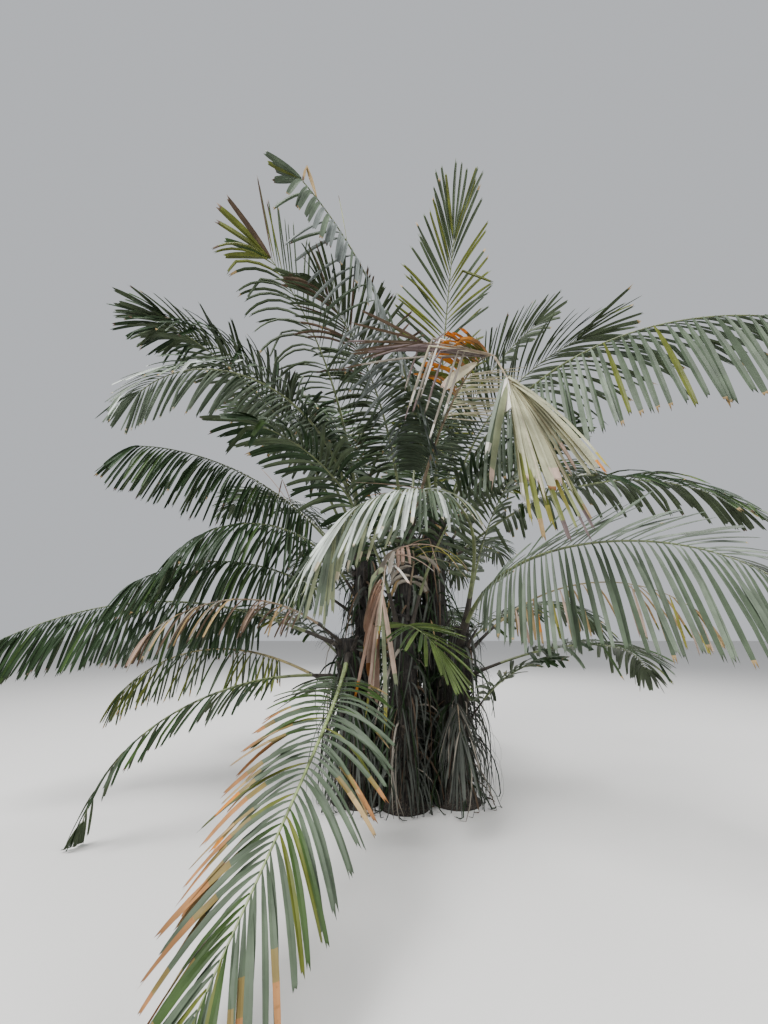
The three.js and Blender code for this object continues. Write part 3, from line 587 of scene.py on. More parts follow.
class StemSettings(PropertyGroup):
    """Relief of the stems and what clings to them."""

    strand_relief: FloatProperty(
        name="Strand relief", description="Height of the fibre strands on the stem",
        default=0.0035, min=0, unit="LENGTH",
    )
    sheath_relief: FloatProperty(
        name="Sheath relief", description="Height of the rims that old leaf sheaths leave",
        default=0.013, min=0, unit="LENGTH",
    )
    strands: IntProperty(
        name="Loose strands", description="Fibre strands on each metre of stem", default=260, min=0,
    )
    stubs: IntProperty(
        name="Old leaf bases", description="Stubs of old leaf stalks on each metre of stem",
        default=9, min=0,
    )
    thatch: IntProperty(
        name="Thatch", description="Dead leaflets that hang on each metre of stem", default=62, min=0,
    )
    skirt: IntProperty(
        name="Skirt", description="Dusty dead leaflets that hang round the foot of a stem",
        default=150, min=0,
    )
    colour: FloatVectorProperty(
        name="Fibre colour", description="Colour of the stem fibre", subtype="COLOR",
        default=(0.026, 0.021, 0.016), min=0, max=1,
    )


class LeafletSettings(PropertyGroup):
    """Size and spacing of the leaflets."""

    width: FloatProperty(
        name="Leaflet width", description="Widest part of a leaflet",
        default=0.040, min=0.005, unit="LENGTH",
    )
    spacing: FloatProperty(
        name="Leaflet spacing", description="Distance between leaflets along the rib",
        default=0.046, min=0.01, unit="LENGTH",
    )
    thickness: FloatProperty(
        name="Midrib thickness", description="Thickness of a leaflet at its midrib",
        default=0.0024, min=0.0005, unit="LENGTH",
    )
    fold: FloatProperty(
        name="Fold", description="Rise of a leaflet's two halves at its root", default=math.radians(34),
        subtype="ANGLE",
    )
    open_fold: FloatProperty(
        name="Open fold", description="Rise of a leaflet's two halves at its tip", default=math.radians(12),
        subtype="ANGLE",
    )
    kink: FloatProperty(
        name="Kink", description="How far a snapped leaflet falls past its kink", default=1.3, min=0,
    )


class StageSettings(PropertyGroup):
    """Camera, floor and light."""

    camera: FloatVectorProperty(
        name="Camera", description="Place of the camera", subtype="TRANSLATION", default=(-0.18, -4.0, 1.3),
    )
    pitch: FloatProperty(
        name="Pitch", description="How far the camera looks up",
        default=math.radians(16.7), subtype="ANGLE",
    )
    lens: FloatProperty(
        name="Lens", description="Focal length in millimetres on a 36 mm sensor", default=14.06, min=5,
    )
    sky: FloatProperty(name="Sky", description="Strength of the even light", default=0.62, min=0)
    key: FloatProperty(name="Key", description="Power of the large soft lamp", default=2300, min=0)


# Shapes


def seeded(name):
    """A random generator that depends only on the name."""
    return np.random.default_rng(zlib.crc32(name.encode()))


def mix(a, b, share):
    """Straight blend from a to b."""
    return a + (b - a) * share


def unit(vectors):
    """Vectors scaled to length one."""
    return vectors / np.maximum(np.linalg.norm(vectors, axis=-1, keepdims=True), 1e-12)


def direction(azimuth, rise):
    """Unit vector from an azimuth and a rise in degrees."""
    a, e = np.radians(azimuth), np.radians(rise)
    return np.stack([np.cos(e) * np.cos(a), np.cos(e) * np.sin(a), np.sin(e) + 0 * a], axis=-1)


def stem_axis(stem, z):
    """Middle of a stem at height z: its foot, plus its lean times the height's share to a power."""
    z = np.asarray(z, float)
    lean = (np.maximum(0, z) / stem["height"]) ** LEAN_CURVE
    (x, y), (lean_x, lean_y) = stem["foot"], stem["lean"]
    return np.stack([x + lean_x * lean, y + lean_y * lean, z], axis=-1)


def stem_radius(stem, z):
    """Radius at height z: even, with a squared flare at the foot and a straight taper at the crown."""
    flare = np.clip(1 - z / FLARE_HEIGHT, 0, 1) ** 2
    crown = np.clip((z - stem["height"]) / CROWN_TAPER + 1, 0, 1)
    return stem["radius"] * (1 - CROWN_NARROWING * crown) + (FOOT_RADIUS - stem["radius"]) * flare


def root_on_stem(stem, drop, azimuth):
    """Where a rib starts: on the stem's flank, a little under its surface."""
    z = stem["height"] - drop
    return stem_axis(stem, z) + direction(azimuth, 0.0) * (stem_radius(stem, z) - ROOT_DEPTH)


def lay_rib(frond):
    """Frames along a rib: the heading falls by bend and turns by sweep with the share run to a power."""
    s = np.arange(RIB_STEPS + 1) / RIB_STEPS
    half = ((np.arange(RIB_STEPS) + 0.5) / RIB_STEPS) ** BEND_CURVE
    steps = direction(frond["azimuth"] + frond["sweep"] * half, frond["rise"] - frond["bend"] * half)
    walk = np.cumsum(steps * (frond["length"] / RIB_STEPS), axis=0)
    turn = s ** BEND_CURVE
    azimuth = frond["azimuth"] + frond["sweep"] * turn
    tangent = direction(azimuth, frond["rise"] - frond["bend"] * turn)
    side = direction(azimuth - 90, 0 * azimuth)
    girth = min(1, mix(LEAST_GIRTH, 1, frond["length"] / FULL_GIRTH_LENGTH))
    return {
        "point": np.vstack([frond["root"], frond["root"] + walk]),
        "tangent": tangent,
        "side": side,
        "normal": np.cross(side, tangent),
        "width": girth * mix(RIB_TIP, RIB_BASE, (1 - s) ** RIB_TAPER),
    }


def ribs_clear(rib, others):
    """Whether a rib keeps its room from every rib in a list."""
    for other in others:
        gap = np.linalg.norm(rib["point"][:, None] - other["point"][None], axis=2)
        room = (rib["width"][:, None] + other["width"][None]) * RIB_ROOM + RIB_SPACING
        if (gap < room).any():
            return False
    return True


def stems_clear(rib, carrier):
    """Whether a rib keeps its room from every stem but the one that carries it."""
    z, width = rib["point"][:, 2], rib["width"]
    for stem in STEMS.values():
        if stem is carrier:
            continue
        gap = np.linalg.norm(rib["point"] - stem_axis(stem, z), axis=1)
        if ((gap < stem_radius(stem, z) + width + RIB_SPACING) & (z <= stem["height"] + width)).any():
            return False
    return True


def rooted_frond(values):
    """A frond on its stem, with its rib, from the values of the columns."""
    frond = {**dict(zip(COLUMNS, values)), "fused": False, "hanging": False}
    frond["broken"] = any(carrier_name == frond["name"] for _, carrier_name, *_ in HANGING)
    frond["root"] = root_on_stem(STEMS[frond["stem"]], frond["drop"], frond["azimuth"])
    frond["rib"] = lay_rib(frond)
    return frond


def grow_fronds():
    """Every frond with its rib: the chosen ones, the hanging fans, then the ruled ones."""
    fronds = [rooted_frond(row) for row in CHOSEN]
    for name, carrier_name, azimuth, rise, bend, length, leaf, droop, fused in HANGING:
        carrier = next(frond for frond in fronds if frond["name"] == carrier_name)
        end = carrier["rib"]["point"][-1]
        frond = {
            "name": name, "stem": carrier["stem"], "azimuth": azimuth, "rise": rise, "bend": bend,
            "sweep": 0, "length": length, "leaf": leaf, "tip": 1.0, "droop": droop, "looks": "dead",
            "fused": fused, "broken": fused, "hanging": True,
            "root": end + direction(azimuth, rise) * HANGING_SEAT,
        }
        frond["rib"] = lay_rib(frond)
        fronds.append(frond)
    for stem_name, facing, count, reach in RULED:
        for i in range(count):
            age = i / (count - 1)
            turn = ((i + 0.5) * GOLDEN) % 1
            drop, rise, bend, droop = (mix(YOUNG[key], OLD[key], age) for key in YOUNG)
            sweep = RULED_SWEEP if i % 2 else -RULED_SWEEP
            length = reach * mix(RULED_SHORTEST, RULED_LONGEST, turn)
            for attempt in range(SETTLE_TRIES):
                aside = math.ceil(attempt / 2) * SETTLE_STEP * (1 if attempt % 2 else -1)
                azimuth = facing + RULED_SPREAD * (2 * turn - 1) + aside
                frond = rooted_frond((
                    f"{stem_name}_{i + 1}", stem_name, drop, azimuth, rise, bend, sweep, length,
                    RULED_LEAF * length, RULED_TIP, droop, "green",
                ))
                rib = frond["rib"]
                if ribs_clear(rib, [f["rib"] for f in fronds]) and stems_clear(rib, STEMS[stem_name]):
                    fronds.append(frond)
                    break
    return fronds


def rib_at(rib, share):
    """Point, axes and width of a rib at shares of its length."""
    place = np.clip(share, 0, 1) * RIB_STEPS
    low = np.minimum(place.astype(int), RIB_STEPS - 1)
    part = (place - low)[:, None]
    point, tangent, side, normal = (
        rib[key][low] * (1 - part) + rib[key][low + 1] * part
        for key in ("point", "tangent", "side", "normal")
    )
    width = rib["width"][low] * (1 - part[:, 0]) + rib["width"][low + 1] * part[:, 0]
    return point, unit(tangent), unit(side), unit(normal), width


def leaflet_profile(u, short, longest, tip):
    """Length along the blade: longest at one place, falling off by a power to each end."""
    low = 1 - short * (np.maximum(0, longest - u) / longest) ** BASE_CUT_CURVE
    high = 1 - (1 - tip) * (np.maximum(0, u - longest) / (1 - longest)) ** 2
    return low * high


def habit_of(frond):
    """How a frond's leaflets are carried."""
    return {**HABIT, **HABITS.get(frond["name"], {})}


def by_row(value, hand):
    """A habit's value for each leaflet: of a pair the first on the rib's right, the second on its left."""
    return np.broadcast_to(value, 2)[np.where(hand > 0, 0, 1)]


def place_leaflets(frond, habit, settings):
    """Where each leaflet of a frond starts: share along the blade, row, angle, length and half widths.

    The rows run evenly from the petiole to the tip, where a few broad leaflets spread like a fan. Fused
    leaflets are as wide as the room between them, so that they join into one pleated blade.
    """
    rng = seeded(frond["name"])
    blade = frond["length"] * (1 - PETIOLE_SHARE)
    count = habit["pairs"]
    if not frond["fused"]:
        count = max(LEAST_PAIRS, round(blade / settings.spacing * habit["crowd"]))
    k = np.repeat(np.arange(count), 2)
    hand = np.tile([1.0, -1.0], count)
    if frond["fused"]:
        u = (k + 0.5) / count
        first, last = (by_row(ends, hand) for ends in zip(*habit["fan"]))
        angle = mix(first, last, u)
        length = mix(habit["outermost"], 1, u) * rng.uniform(habit["even"], 1.0, u.size)
        room = blade / count * np.sin(np.radians(angle))[:, None]
        room = room + np.radians(first - last)[:, None] / count * frond["leaf"] * STATIONS[None, :]
        half = FUSED_LAP / 2 * room * FUSED_OUTLINE[None, :]
        return {"u": u, "hand": hand, "angle": angle, "length": length * frond["leaf"], "half": half}
    u = np.clip((k + 0.5 + rng.uniform(-PLACE_SCATTER, PLACE_SCATTER, k.size)) / count, 0, 1)
    angle = mix(by_row(habit["angle"], hand), habit["end_angle"], u ** ANGLE_CURVE)
    angle = angle + rng.normal(0, ANGLE_SCATTER, u.size)
    length = leaflet_profile(u, habit["short"], habit["longest"], frond["tip"])
    length = length * rng.uniform(*LENGTH_SPREAD, u.size)
    wide = settings.width * np.broadcast_to(habit["width"], 2)
    width = by_row(wide, hand) * mix(*WIDTH_ALONG, u) * rng.uniform(*WIDTH_SPREAD, u.size)
    chance = by_row(habit["missing"], hand) * (u > habit["missing_from"])
    kept = (rng.random(u.size) >= chance) & (u >= habit["bare"]) & (u <= by_row(habit["stop"], hand))
    angle, hand, u, length, width = (values[kept] for values in (angle, hand, u, length, width))
    if not frond["broken"]:
        pairs, spread, broad, longer, _ = habit["end"]
        step = np.repeat(np.arange(1, pairs + 1), 2) / pairs
        side = np.tile([1.0, -1.0], pairs)
        there = by_row(habit["end_rows"], side) > 0
        step, side = step[there], side[there]
        ends = step.size + 1
        turned = habit["lead"] + step * spread + rng.normal(0, END_ANGLE_SCATTER, step.size)
        angle = np.concatenate([angle, [-habit["lead"]], turned])
        hand = np.concatenate([hand, [-1.0], side])
        u = np.concatenate([u, np.full(ends, 1.0)])
        length = np.concatenate([length, frond["tip"] * longer * rng.uniform(*END_LENGTH_SPREAD, ends)])
        width = np.concatenate([width, wide[0] * broad * rng.uniform(*END_WIDTH_SPREAD, ends)])
    half = width[:, None] / 2 * OUTLINE[None, :]
    return {"u": u, "hand": hand, "angle": angle, "length": length * frond["leaf"], "half": half}


def strips(start, heading, beside, turn, fall, length, half, calm, settings, rng, roll=0.0):
    """Corners of folded strips, as (strip, station, corner, xyz).

    A strip sets out on its heading, falls by the share that `fall` gives for each stride, and is folded
    upwards along its midrib. At each station it has four corners: near edge, midrib above, far edge on the
    side of `beside`, and midrib below. Its end is bitten off. `calm` scales down the random turns, and
    `roll` turns the face round the midrib, in degrees.
    """
    count = len(start)
    sway = rng.normal(0, SWAY * calm, (count, 1)) * MIDDLES[None, :] ** 2
    steps = unit(heading[:, None, :] - UP * fall[:, :, None] + beside[:, None, :] * sway[:, :, None])
    strides = steps * (length[:, None] * STRIDES[None, :])[:, :, None]
    centre = np.concatenate([start[:, None], start[:, None] + np.cumsum(strides, axis=1)], axis=1)
    centre[:, :, 2] = np.maximum(centre[:, :, 2], LEAST_AXIS_HEIGHT)
    ahead = unit(np.concatenate([steps[:, :1], steps[:, 1:] + steps[:, :-1], steps[:, -1:]], axis=1))
    level = beside[:, None, :] + 0 * ahead
    across = unit(level - ahead * (level * ahead).sum(-1, keepdims=True))
    up = np.cross(ahead, across) * turn[:, None, None]
    twist = rng.normal(0, TWIST * calm, (count, 1)) * STATIONS[None, :]
    twist = twist + rng.normal(0, ROOT_TWIST * calm, (count, 1))
    twist = np.radians(twist + np.reshape(roll, (-1, 1)))[..., None]
    across, up = across * np.cos(twist) + up * np.sin(twist), up * np.cos(twist) - across * np.sin(twist)
    fold = mix(settings.fold, settings.open_fold, STATIONS)[None, :]
    fold = fold + rng.normal(0, FOLD_SCATTER, (count, 1))
    reach = (half * np.cos(fold))[..., None]
    rise = (half * np.sin(fold))[..., None]
    thick = (settings.thickness * (1 - TIP_THINNING * STATIONS))[None, :, None]
    rings = np.stack([
        centre - across * reach + up * rise, centre,
        centre + across * reach + up * rise, centre - up * thick,
    ], axis=2)
    bite = length[:, None] * BITE
    for edge in (0, 2):
        rings[:, -1, edge] += ahead[:, -1] * bite * rng.uniform(*BITE_EDGES, (count, 1))
    for midrib in (1, 3):
        rings[:, -1, midrib] -= ahead[:, -1] * bite * BITE_MIDRIB
    rings[..., 2] = np.maximum(rings[..., 2], LEAST_HEIGHT)
    return rings


def leaflet_rings(frond, settings):
    """Corners of every leaflet of a frond. A leaflet leaves the rib at its angle, rises out of the rib's
    plane by its row's valley, and falls by the share run to a power. A snapped one falls more past its
    kink.
    """
    habit = habit_of(frond)
    rng = seeded(frond["name"] + " shape")
    spot = place_leaflets(frond, habit, settings)
    hand, u = spot["hand"], spot["u"]
    first = habit["begin"] if frond["fused"] else PETIOLE_SHARE
    point, tangent, side, normal, rib_width = rib_at(frond["rib"], first + (1 - first) * u)
    count = u.size
    calm = FUSED_CALM if frond["fused"] else 1.0
    valley = np.zeros(count) if frond["fused"] else by_row(habit["valley"], hand)
    valley = np.radians(valley + rng.normal(0, VALLEY_SCATTER * calm, count))[:, None]
    angle = np.radians(spot["angle"])[:, None]
    out = side * hand[:, None] * np.cos(valley) + normal * np.sin(valley)
    heading = tangent * np.cos(angle) + out * np.sin(angle)
    spread = FUSED_DROOP_SPREAD if frond["fused"] else DROOP_SPREAD
    droop = frond["droop"] * by_row(habit["droop"], hand) * rng.uniform(1 - spread, 1 + spread, count)
    droop[u == 1] *= habit["end"][-1]
    arch = by_row(habit["arch"], hand)
    fall = FALL * droop[:, None] * MIDDLES[None, :] ** arch[:, None]
    kinked = (rng.random(count) < by_row(habit["kinked"], hand)) & (u < 1) & (not frond["fused"])
    kink_at = rng.uniform(*KINK_PLACES, count)
    fall = fall + settings.kink * (kinked[:, None] & (MIDDLES[None, :] > kink_at[:, None]))
    start = point + side * (hand * rib_width * SEAT_ASIDE)[:, None]
    start = start - normal * (rib_width * SEAT_UNDER)[:, None]
    level = spot["angle"] < ALONG_RIB
    beside = np.where(level[:, None], side * -hand[:, None], tangent)
    rings = strips(start, heading, beside, hand, fall, spot["length"], spot["half"], calm, settings, rng)
    return rings, spot


def loose_rings(frond, settings):
    """Corners of the strips of the LOOSE table that hang from a frond, and their tints."""
    rows = LOOSE.get(frond["name"])
    if not rows:
        return None, None
    rng = seeded(frond["name"] + " loose")
    measures = np.array([row[:-2] for row in rows], float)
    share, azimuth, rise, weight, kink_at, length, width, roll = measures.T
    point = rib_at(frond["rib"], share)[0]
    heading = direction(azimuth, rise)
    fall = weight[:, None] * MIDDLES[None, :] + KINKED_FALL * (MIDDLES[None, :] > kink_at[:, None])
    half = width[:, None] / 2 * OUTLINE[None, :]
    beside = direction(azimuth + 90, 0 * rise)
    turn = np.ones(len(rows))
    rings = strips(point, heading, beside, turn, fall, length, half, LOOSE_CALM, settings, rng, roll)
    return rings, [row[-2:] for row in rows]


def deal(rules, hand, u, rng):
    """A tint for each leaflet: the last rule that covers its row and place, drawn by the rule's shares."""
    if isinstance(rules, dict):
        rules = [(0, 0, 1, rules)]
    tints = np.full(u.size, None, dtype=object)
    draw = rng.random(u.size)
    for row, low, high, shares in rules:
        inside = (u >= low) & (u <= high) & ((row == 0) | (hand == row))
        names = list(shares)
        edges = np.cumsum([shares[name] for name in names]) / sum(shares.values())
        picked = np.array(names, dtype=object)[np.minimum(np.searchsorted(edges, draw), len(names) - 1)]
        tints[inside] = picked[inside]
    return tints


def strip_faces(stations):
    """Triangles of one strip. Upper and lower faces are cut along like diagonals, so they never cross."""
    k, j = np.meshgrid(np.arange(CORNERS), np.arange(stations - 1))
    a, d = (j * CORNERS + k).ravel(), (j * CORNERS + (k + 1) % CORNERS).ravel()
    b, c = a + CORNERS, d + CORNERS
    even = np.stack([a, b, c, a, c, d], axis=-1)
    odd = np.stack([d, a, b, d, b, c], axis=-1)
    body = np.where((k.ravel() % 2 == 0)[:, None], even, odd).reshape(-1, 3)
    last = CORNERS * (stations - 1)
    caps = np.array([[0, 1, 3], [1, 2, 3], [last + 3, last + 1, last], [last + 3, last + 2, last + 1]])
    return np.vstack([body, caps])


def strip_mesh(rings, hand):
    """Triangles and UVs of many strips at once, turned round where the row is on the rib's left."""
    count, stations = rings.shape[:2]
    one = strip_faces(stations)
    faces = one[None] + (np.arange(count) * CORNERS * stations)[:, None, None]
    uvs = np.stack([ACROSS[one % CORNERS], STATIONS[one // CORNERS]], axis=-1)
    uvs = np.repeat(uvs[None], count, axis=0)
    left = hand < 0
    faces[left] = faces[left][:, :, ::-1]
    uvs[left] = uvs[left][:, :, ::-1]
    return faces.reshape(-1, 3), uvs.reshape(-1, 3, 2)


def strip_tints(stations, top, under, tip, tips_from):
    """Tint of each triangle of each strip: upper faces, lower faces, and both past the start of the tip.

    A long dry tip on a green strip starts with a face of the turning tint.
    """
    station = np.repeat(np.arange(stations - 1), SPAN_FACES)
    is_top = np.tile(np.arange(SPAN_FACES) < SPAN_FACES / 2, stations - 1)
    tint = np.where(is_top[None], top[:, None], under[:, None])
    has_tip = np.array([name is not None for name in tip])
    tint = np.where((station[None] >= tips_from[:, None]) & has_tip[:, None], tip[:, None], tint)
    dries = np.array([body not in DRY and end in DRY for body, end in zip(top, tip)])
    turns = dries & (tips_from < stations - 1 - SHORT_TIP)
    tint[turns[:, None] & (station[None] == tips_from[:, None])] = "turning"
    last = tint[:, -SPAN_FACES][:, None]
    return np.concatenate([tint, top[:, None], top[:, None], last, last], axis=1)


def leaflet_tints(spot, stations, palette, rng):
    """Tints of a frond's leaflets, dealt by its palette's rules."""
    count = spot["u"].size
    top = deal(palette["top"], spot["hand"], spot["u"], rng)
    tip = deal(palette["tips"], spot["hand"], spot["u"], rng)
    under = deal(palette["under"], spot["hand"], spot["u"], rng)
    most = palette["tip_faces"]
    faces = rng.integers(max(1, most - TIP_SPREAD), most + 1, count)
    return strip_tints(stations, top, under, tip, stations - 1 - faces)


def tube(points, side, up, radii, sides, flat):
    """Rings of points round the stations of a path, flattened along up, which tube_faces closes."""
    turn = 2 * np.pi * np.arange(sides) / sides
    across = np.cos(turn)[None, :, None] * side[:, None, :]
    lift = flat * np.sin(turn)[None, :, None] * up[:, None, :]
    return points[:, None, :] + (across + lift) * np.reshape(radii, (-1, 1, 1))


def tube_faces(stations, sides):
    """Quads between rings, and a fan of quads at each end. The number of sides is even."""
    j, k = np.meshgrid(np.arange(stations - 1), np.arange(sides), indexing="ij")
    a = j * sides + k
    b = j * sides + (k + 1) % sides
    body = np.stack([a, b, b + sides, a + sides], axis=-1).reshape(-1, 4)
    step = np.arange((sides - 2) // 2)
    fan = np.stack([0 * step, 2 * step + 1, 2 * step + 2, 2 * step + 3], axis=-1)
    start = fan[:, ::-1]
    end = fan + (stations - 1) * sides
    return np.vstack([body, start, end])


# Meshes


def build_mesh(name, points, faces, materials, numbers=None, uvs=None, creased=None):
    """A mesh object from arrays: points, faces of three or four corners, one material number for each face,
    and UVs by corner. Edges between like corners of the rings are sharp where `creased` gives their number.
    """
    mesh = bpy.data.meshes.new(name)
    mesh.vertices.add(len(points))
    mesh.vertices.foreach_set("co", np.ascontiguousarray(points, np.float32).ravel())
    mesh.loops.add(faces.size)
    mesh.loops.foreach_set("vertex_index", np.ascontiguousarray(faces, np.int32).ravel())
    mesh.polygons.add(len(faces))
    mesh.polygons.foreach_set("loop_start", np.arange(len(faces), dtype=np.int32) * faces.shape[1])
    for material in materials:
        mesh.materials.append(material)
    if numbers is not None:
        mesh.polygons.foreach_set("material_index", np.ascontiguousarray(numbers, np.int32))
    mesh.polygons.foreach_set("use_smooth", np.ones(len(faces), dtype=bool))
    if uvs is not None:
        layer = mesh.uv_layers.new(name="leaf")
        layer.data.foreach_set("uv", np.ascontiguousarray(uvs, np.float32).ravel())
    mesh.update(calc_edges=True)
    mesh.validate()
    if creased is not None:
        ends = np.zeros(len(mesh.edges) * 2, np.int32)
        mesh.edges.foreach_get("vertices", ends)
        ends = ends.reshape(-1, 2)
        same = (ends[:, 0] % creased) == (ends[:, 1] % creased)
        flags = mesh.attributes.new("sharp_edge", "BOOLEAN", "EDGE")
        flags.data.foreach_set("value", same)
    piece = bpy.data.objects.new(name, mesh)
    bpy.context.scene.collection.objects.link(piece)
    return piece


def finish_piece(piece, nodes):
    """The piece rides on the palm and stands for its nodes, which it hides."""
    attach(piece, "root")
    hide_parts(*nodes)


class Heap:
    """Gathers arrays of many like shapes, to be joined into one mesh."""

    def __init__(self):
        self.points, self.faces, self.numbers, self.uvs, self.size = [], [], [], [], 0

    def add(self, points, faces, numbers, uvs=None):
        """Adds one shape, or many at once, and moves its face numbers on."""
        points = points.reshape(-1, 3)
        self.points.append(points)
        self.faces.append(faces + self.size)
        self.numbers.append(np.broadcast_to(numbers, len(faces)))
        if uvs is not None:
            self.uvs.append(uvs)
        self.size += len(points)

    def build(self, name, materials, creased=None):
        """The joined mesh object."""
        uvs = np.concatenate(self.uvs) if self.uvs else None
        return build_mesh(
            name, np.concatenate(self.points), np.concatenate(self.faces), materials,
            np.concatenate(self.numbers), uvs, creased,
        )


# Materials


def node_material(name):
    """The node material of a name, and where it is new its nodes, its links and its shader."""
    material = bpy.data.materials.get(name)
    if material:
        return material, None, None, None
    material = bpy.data.materials.new(name)
    material.use_nodes = True
    nodes, links = material.node_tree.nodes, material.node_tree.links
    shader = nodes["Principled BSDF"]
    return material, nodes, links, shader


def add_noise(nodes, links, coordinates, scale, detail=3.0, stretch=None):
    """Noise on the object's own coordinates, stretched by a Mapping node where asked."""
    noise = nodes.new("ShaderNodeTexNoise")
    noise.inputs["Scale"].default_value = scale
    noise.inputs["Detail"].default_value = detail
    source = coordinates
    if stretch:
        mapping = nodes.new("ShaderNodeMapping")
        mapping.inputs["Scale"].default_value = stretch
        links.new(coordinates, mapping.inputs["Vector"])
        source = mapping.outputs["Vector"]
    links.new(source, noise.inputs["Vector"])
    return noise.outputs["Fac"]


def add_ramp(nodes, links, value, stops):
    """A colour ramp with (position, colour) stops."""
    ramp = nodes.new("ShaderNodeValToRGB")
    elements = ramp.color_ramp.elements
    while len(elements) < len(stops):
        elements.new(0.5)
    for element, (position, colour) in zip(elements, stops):
        element.position = position
        element.color = (*colour, 1)
    links.new(value, ramp.inputs["Fac"])
    return ramp.outputs["Color"]


def shade(colour, factor):
    """A colour made darker or lighter."""
    return tuple(min(1.0, channel * factor) for channel in colour)


def shades(colour, levels):
    """Ramp stops that shade one colour by (noise level, factor)."""
    return [(level, shade(colour, factor)) for level, factor in levels]


def add_range(nodes, links, value, source, target):
    """A value mapped from one range to another, and held within it."""
    mapped = nodes.new("ShaderNodeMapRange")
    for key, number in zip(("From Min", "From Max", "To Min", "To Max"), (*source, *target)):
        mapped.inputs[key].default_value = number
    links.new(value, mapped.inputs["Value"])
    return mapped.outputs["Result"]


def add_mix(nodes, links, blend, share, under, over):
    """Two colours mixed, where each of the three inputs is a socket or a plain value."""
    mixer = nodes.new("ShaderNodeMix")
    mixer.data_type = "RGBA"
    mixer.blend_type = blend
    for key, source in (("Factor", share), ("A", under), ("B", over)):
        if isinstance(source, bpy.types.NodeSocket):
            links.new(source, mixer.inputs[key])
        else:
            mixer.inputs[key].default_value = source
    return mixer.outputs["Result"]


def add_bump(nodes, links, shader, height, strength, depth):
    """Fine relief on a shader's normal."""
    bump = nodes.new("ShaderNodeBump")
    bump.inputs["Strength"].default_value = strength
    bump.inputs["Distance"].default_value = depth
    links.new(height, bump.inputs["Height"])
    links.new(bump.outputs["Normal"], shader.inputs["Normal"])


# Leaf finish: mottling as (noise level, shade), spots, roughness, and veins with strength and depth
MOTTLE_SCALE = 7.0
MOTTLE = ((0.3, 0.68), (0.52, 1.0), (0.72, 1.4))
SPOT_SCALE = 55.0
SPOT_LEVELS = (0.58, 0.72)
SPOT_MOST = 0.55
SPOT_SHADE = {"green": 1.25, "dry": 0.55}
LEAF_ROUGHNESS = {"green": (0.34, 0.52), "dry": (0.62, 0.85)}
LEAF_SPECULAR = 0.16
VEIN_SCALE = 4.0
VEIN_WAVER = 0.4
VEIN_RELIEF = (0.35, 0.0006)


def leaf_material(tint):
    """Leathery leaf: mottled tint, satin gloss, and fine veins along the leaflet."""
    material, nodes, links, shader = node_material(f"leaf_{tint}")
    if nodes is None:
        return material
    colour = LEAF_COLOURS[tint]
    state = "dry" if tint in DRY else "green"
    coordinates = nodes.new("ShaderNodeTexCoord").outputs["Object"]
    mottle = add_noise(nodes, links, coordinates, MOTTLE_SCALE)
    base = add_ramp(nodes, links, mottle, shades(colour, MOTTLE))
    spots = add_noise(nodes, links, coordinates, SPOT_SCALE)
    share = add_range(nodes, links, spots, SPOT_LEVELS, (0.0, SPOT_MOST))
    spotted = add_mix(nodes, links, "MIX", share, base, (*shade(colour, SPOT_SHADE[state]), 1))
    links.new(spotted, shader.inputs["Base Color"])
    gloss = add_range(nodes, links, mottle, (0.0, 1.0), LEAF_ROUGHNESS[state])
    links.new(gloss, shader.inputs["Roughness"])
    shader.inputs["Specular IOR Level"].default_value = LEAF_SPECULAR
    veins = nodes.new("ShaderNodeTexWave")
    veins.inputs["Scale"].default_value = VEIN_SCALE
    veins.inputs["Distortion"].default_value = VEIN_WAVER
    uv = nodes.new("ShaderNodeUVMap")
    uv.uv_map = "leaf"
    links.new(uv.outputs["UV"], veins.inputs["Vector"])
    add_bump(nodes, links, shader, veins.outputs["Fac"], *VEIN_RELIEF)
    return material


# Rib finish: scurf in patches as (noise level, shade), and fine grain with strength and depth
SCURF_SCALE = 16.0
SCURF_DETAIL = 5.0
SCURF = ((0.30, 0.30), (0.48, 1.0), (0.75, 1.45))
GRAIN_SCALE = 240.0
GRAIN_RELIEF = (0.4, 0.001)


def rib_material(tint):
    """Frond stalk: smooth green or dry, with dark scurf in patches."""
    material, nodes, links, shader = node_material(tint)
    if nodes is None:
        return material
    colour, roughness = RIB_COLOURS[tint]
    coordinates = nodes.new("ShaderNodeTexCoord").outputs["Object"]
    patches = add_noise(nodes, links, coordinates, SCURF_SCALE, SCURF_DETAIL)
    links.new(add_ramp(nodes, links, patches, shades(colour, SCURF)), shader.inputs["Base Color"])
    shader.inputs["Roughness"].default_value = roughness
    grain = add_noise(nodes, links, coordinates, GRAIN_SCALE)
    add_bump(nodes, links, shader, grain, *GRAIN_RELIEF)
    return material


# Fibre finish: upright strands as (noise level, shade) with the level of the lightest ones, and dust. Above
# one height it darkens with painted shade under the crown, and above another its colour keeps a share.
FIBRE_SCALE = 95.0
FIBRE_DETAIL = 4.0
FIBRE_STRETCH = (1, 1, 0.08)
FIBRE = ((0.32, 0.35), (0.50, 1.0))
LIGHTEST_AT = 0.70
DUST_SCALE = 9.0
DUST = ((0.3, (0.45, 0.42, 0.38)), (0.7, (1.0, 1.0, 1.0)))
DUST_SHARE = 0.7
UNSHADED_BELOW = 0.45
SHADED_ABOVE = 0.95
CROWN_SHADE_SHARE = 0.42
FIBRE_ROUGHNESS = 0.88
FIBRE_RELIEF = (0.8, 0.004)


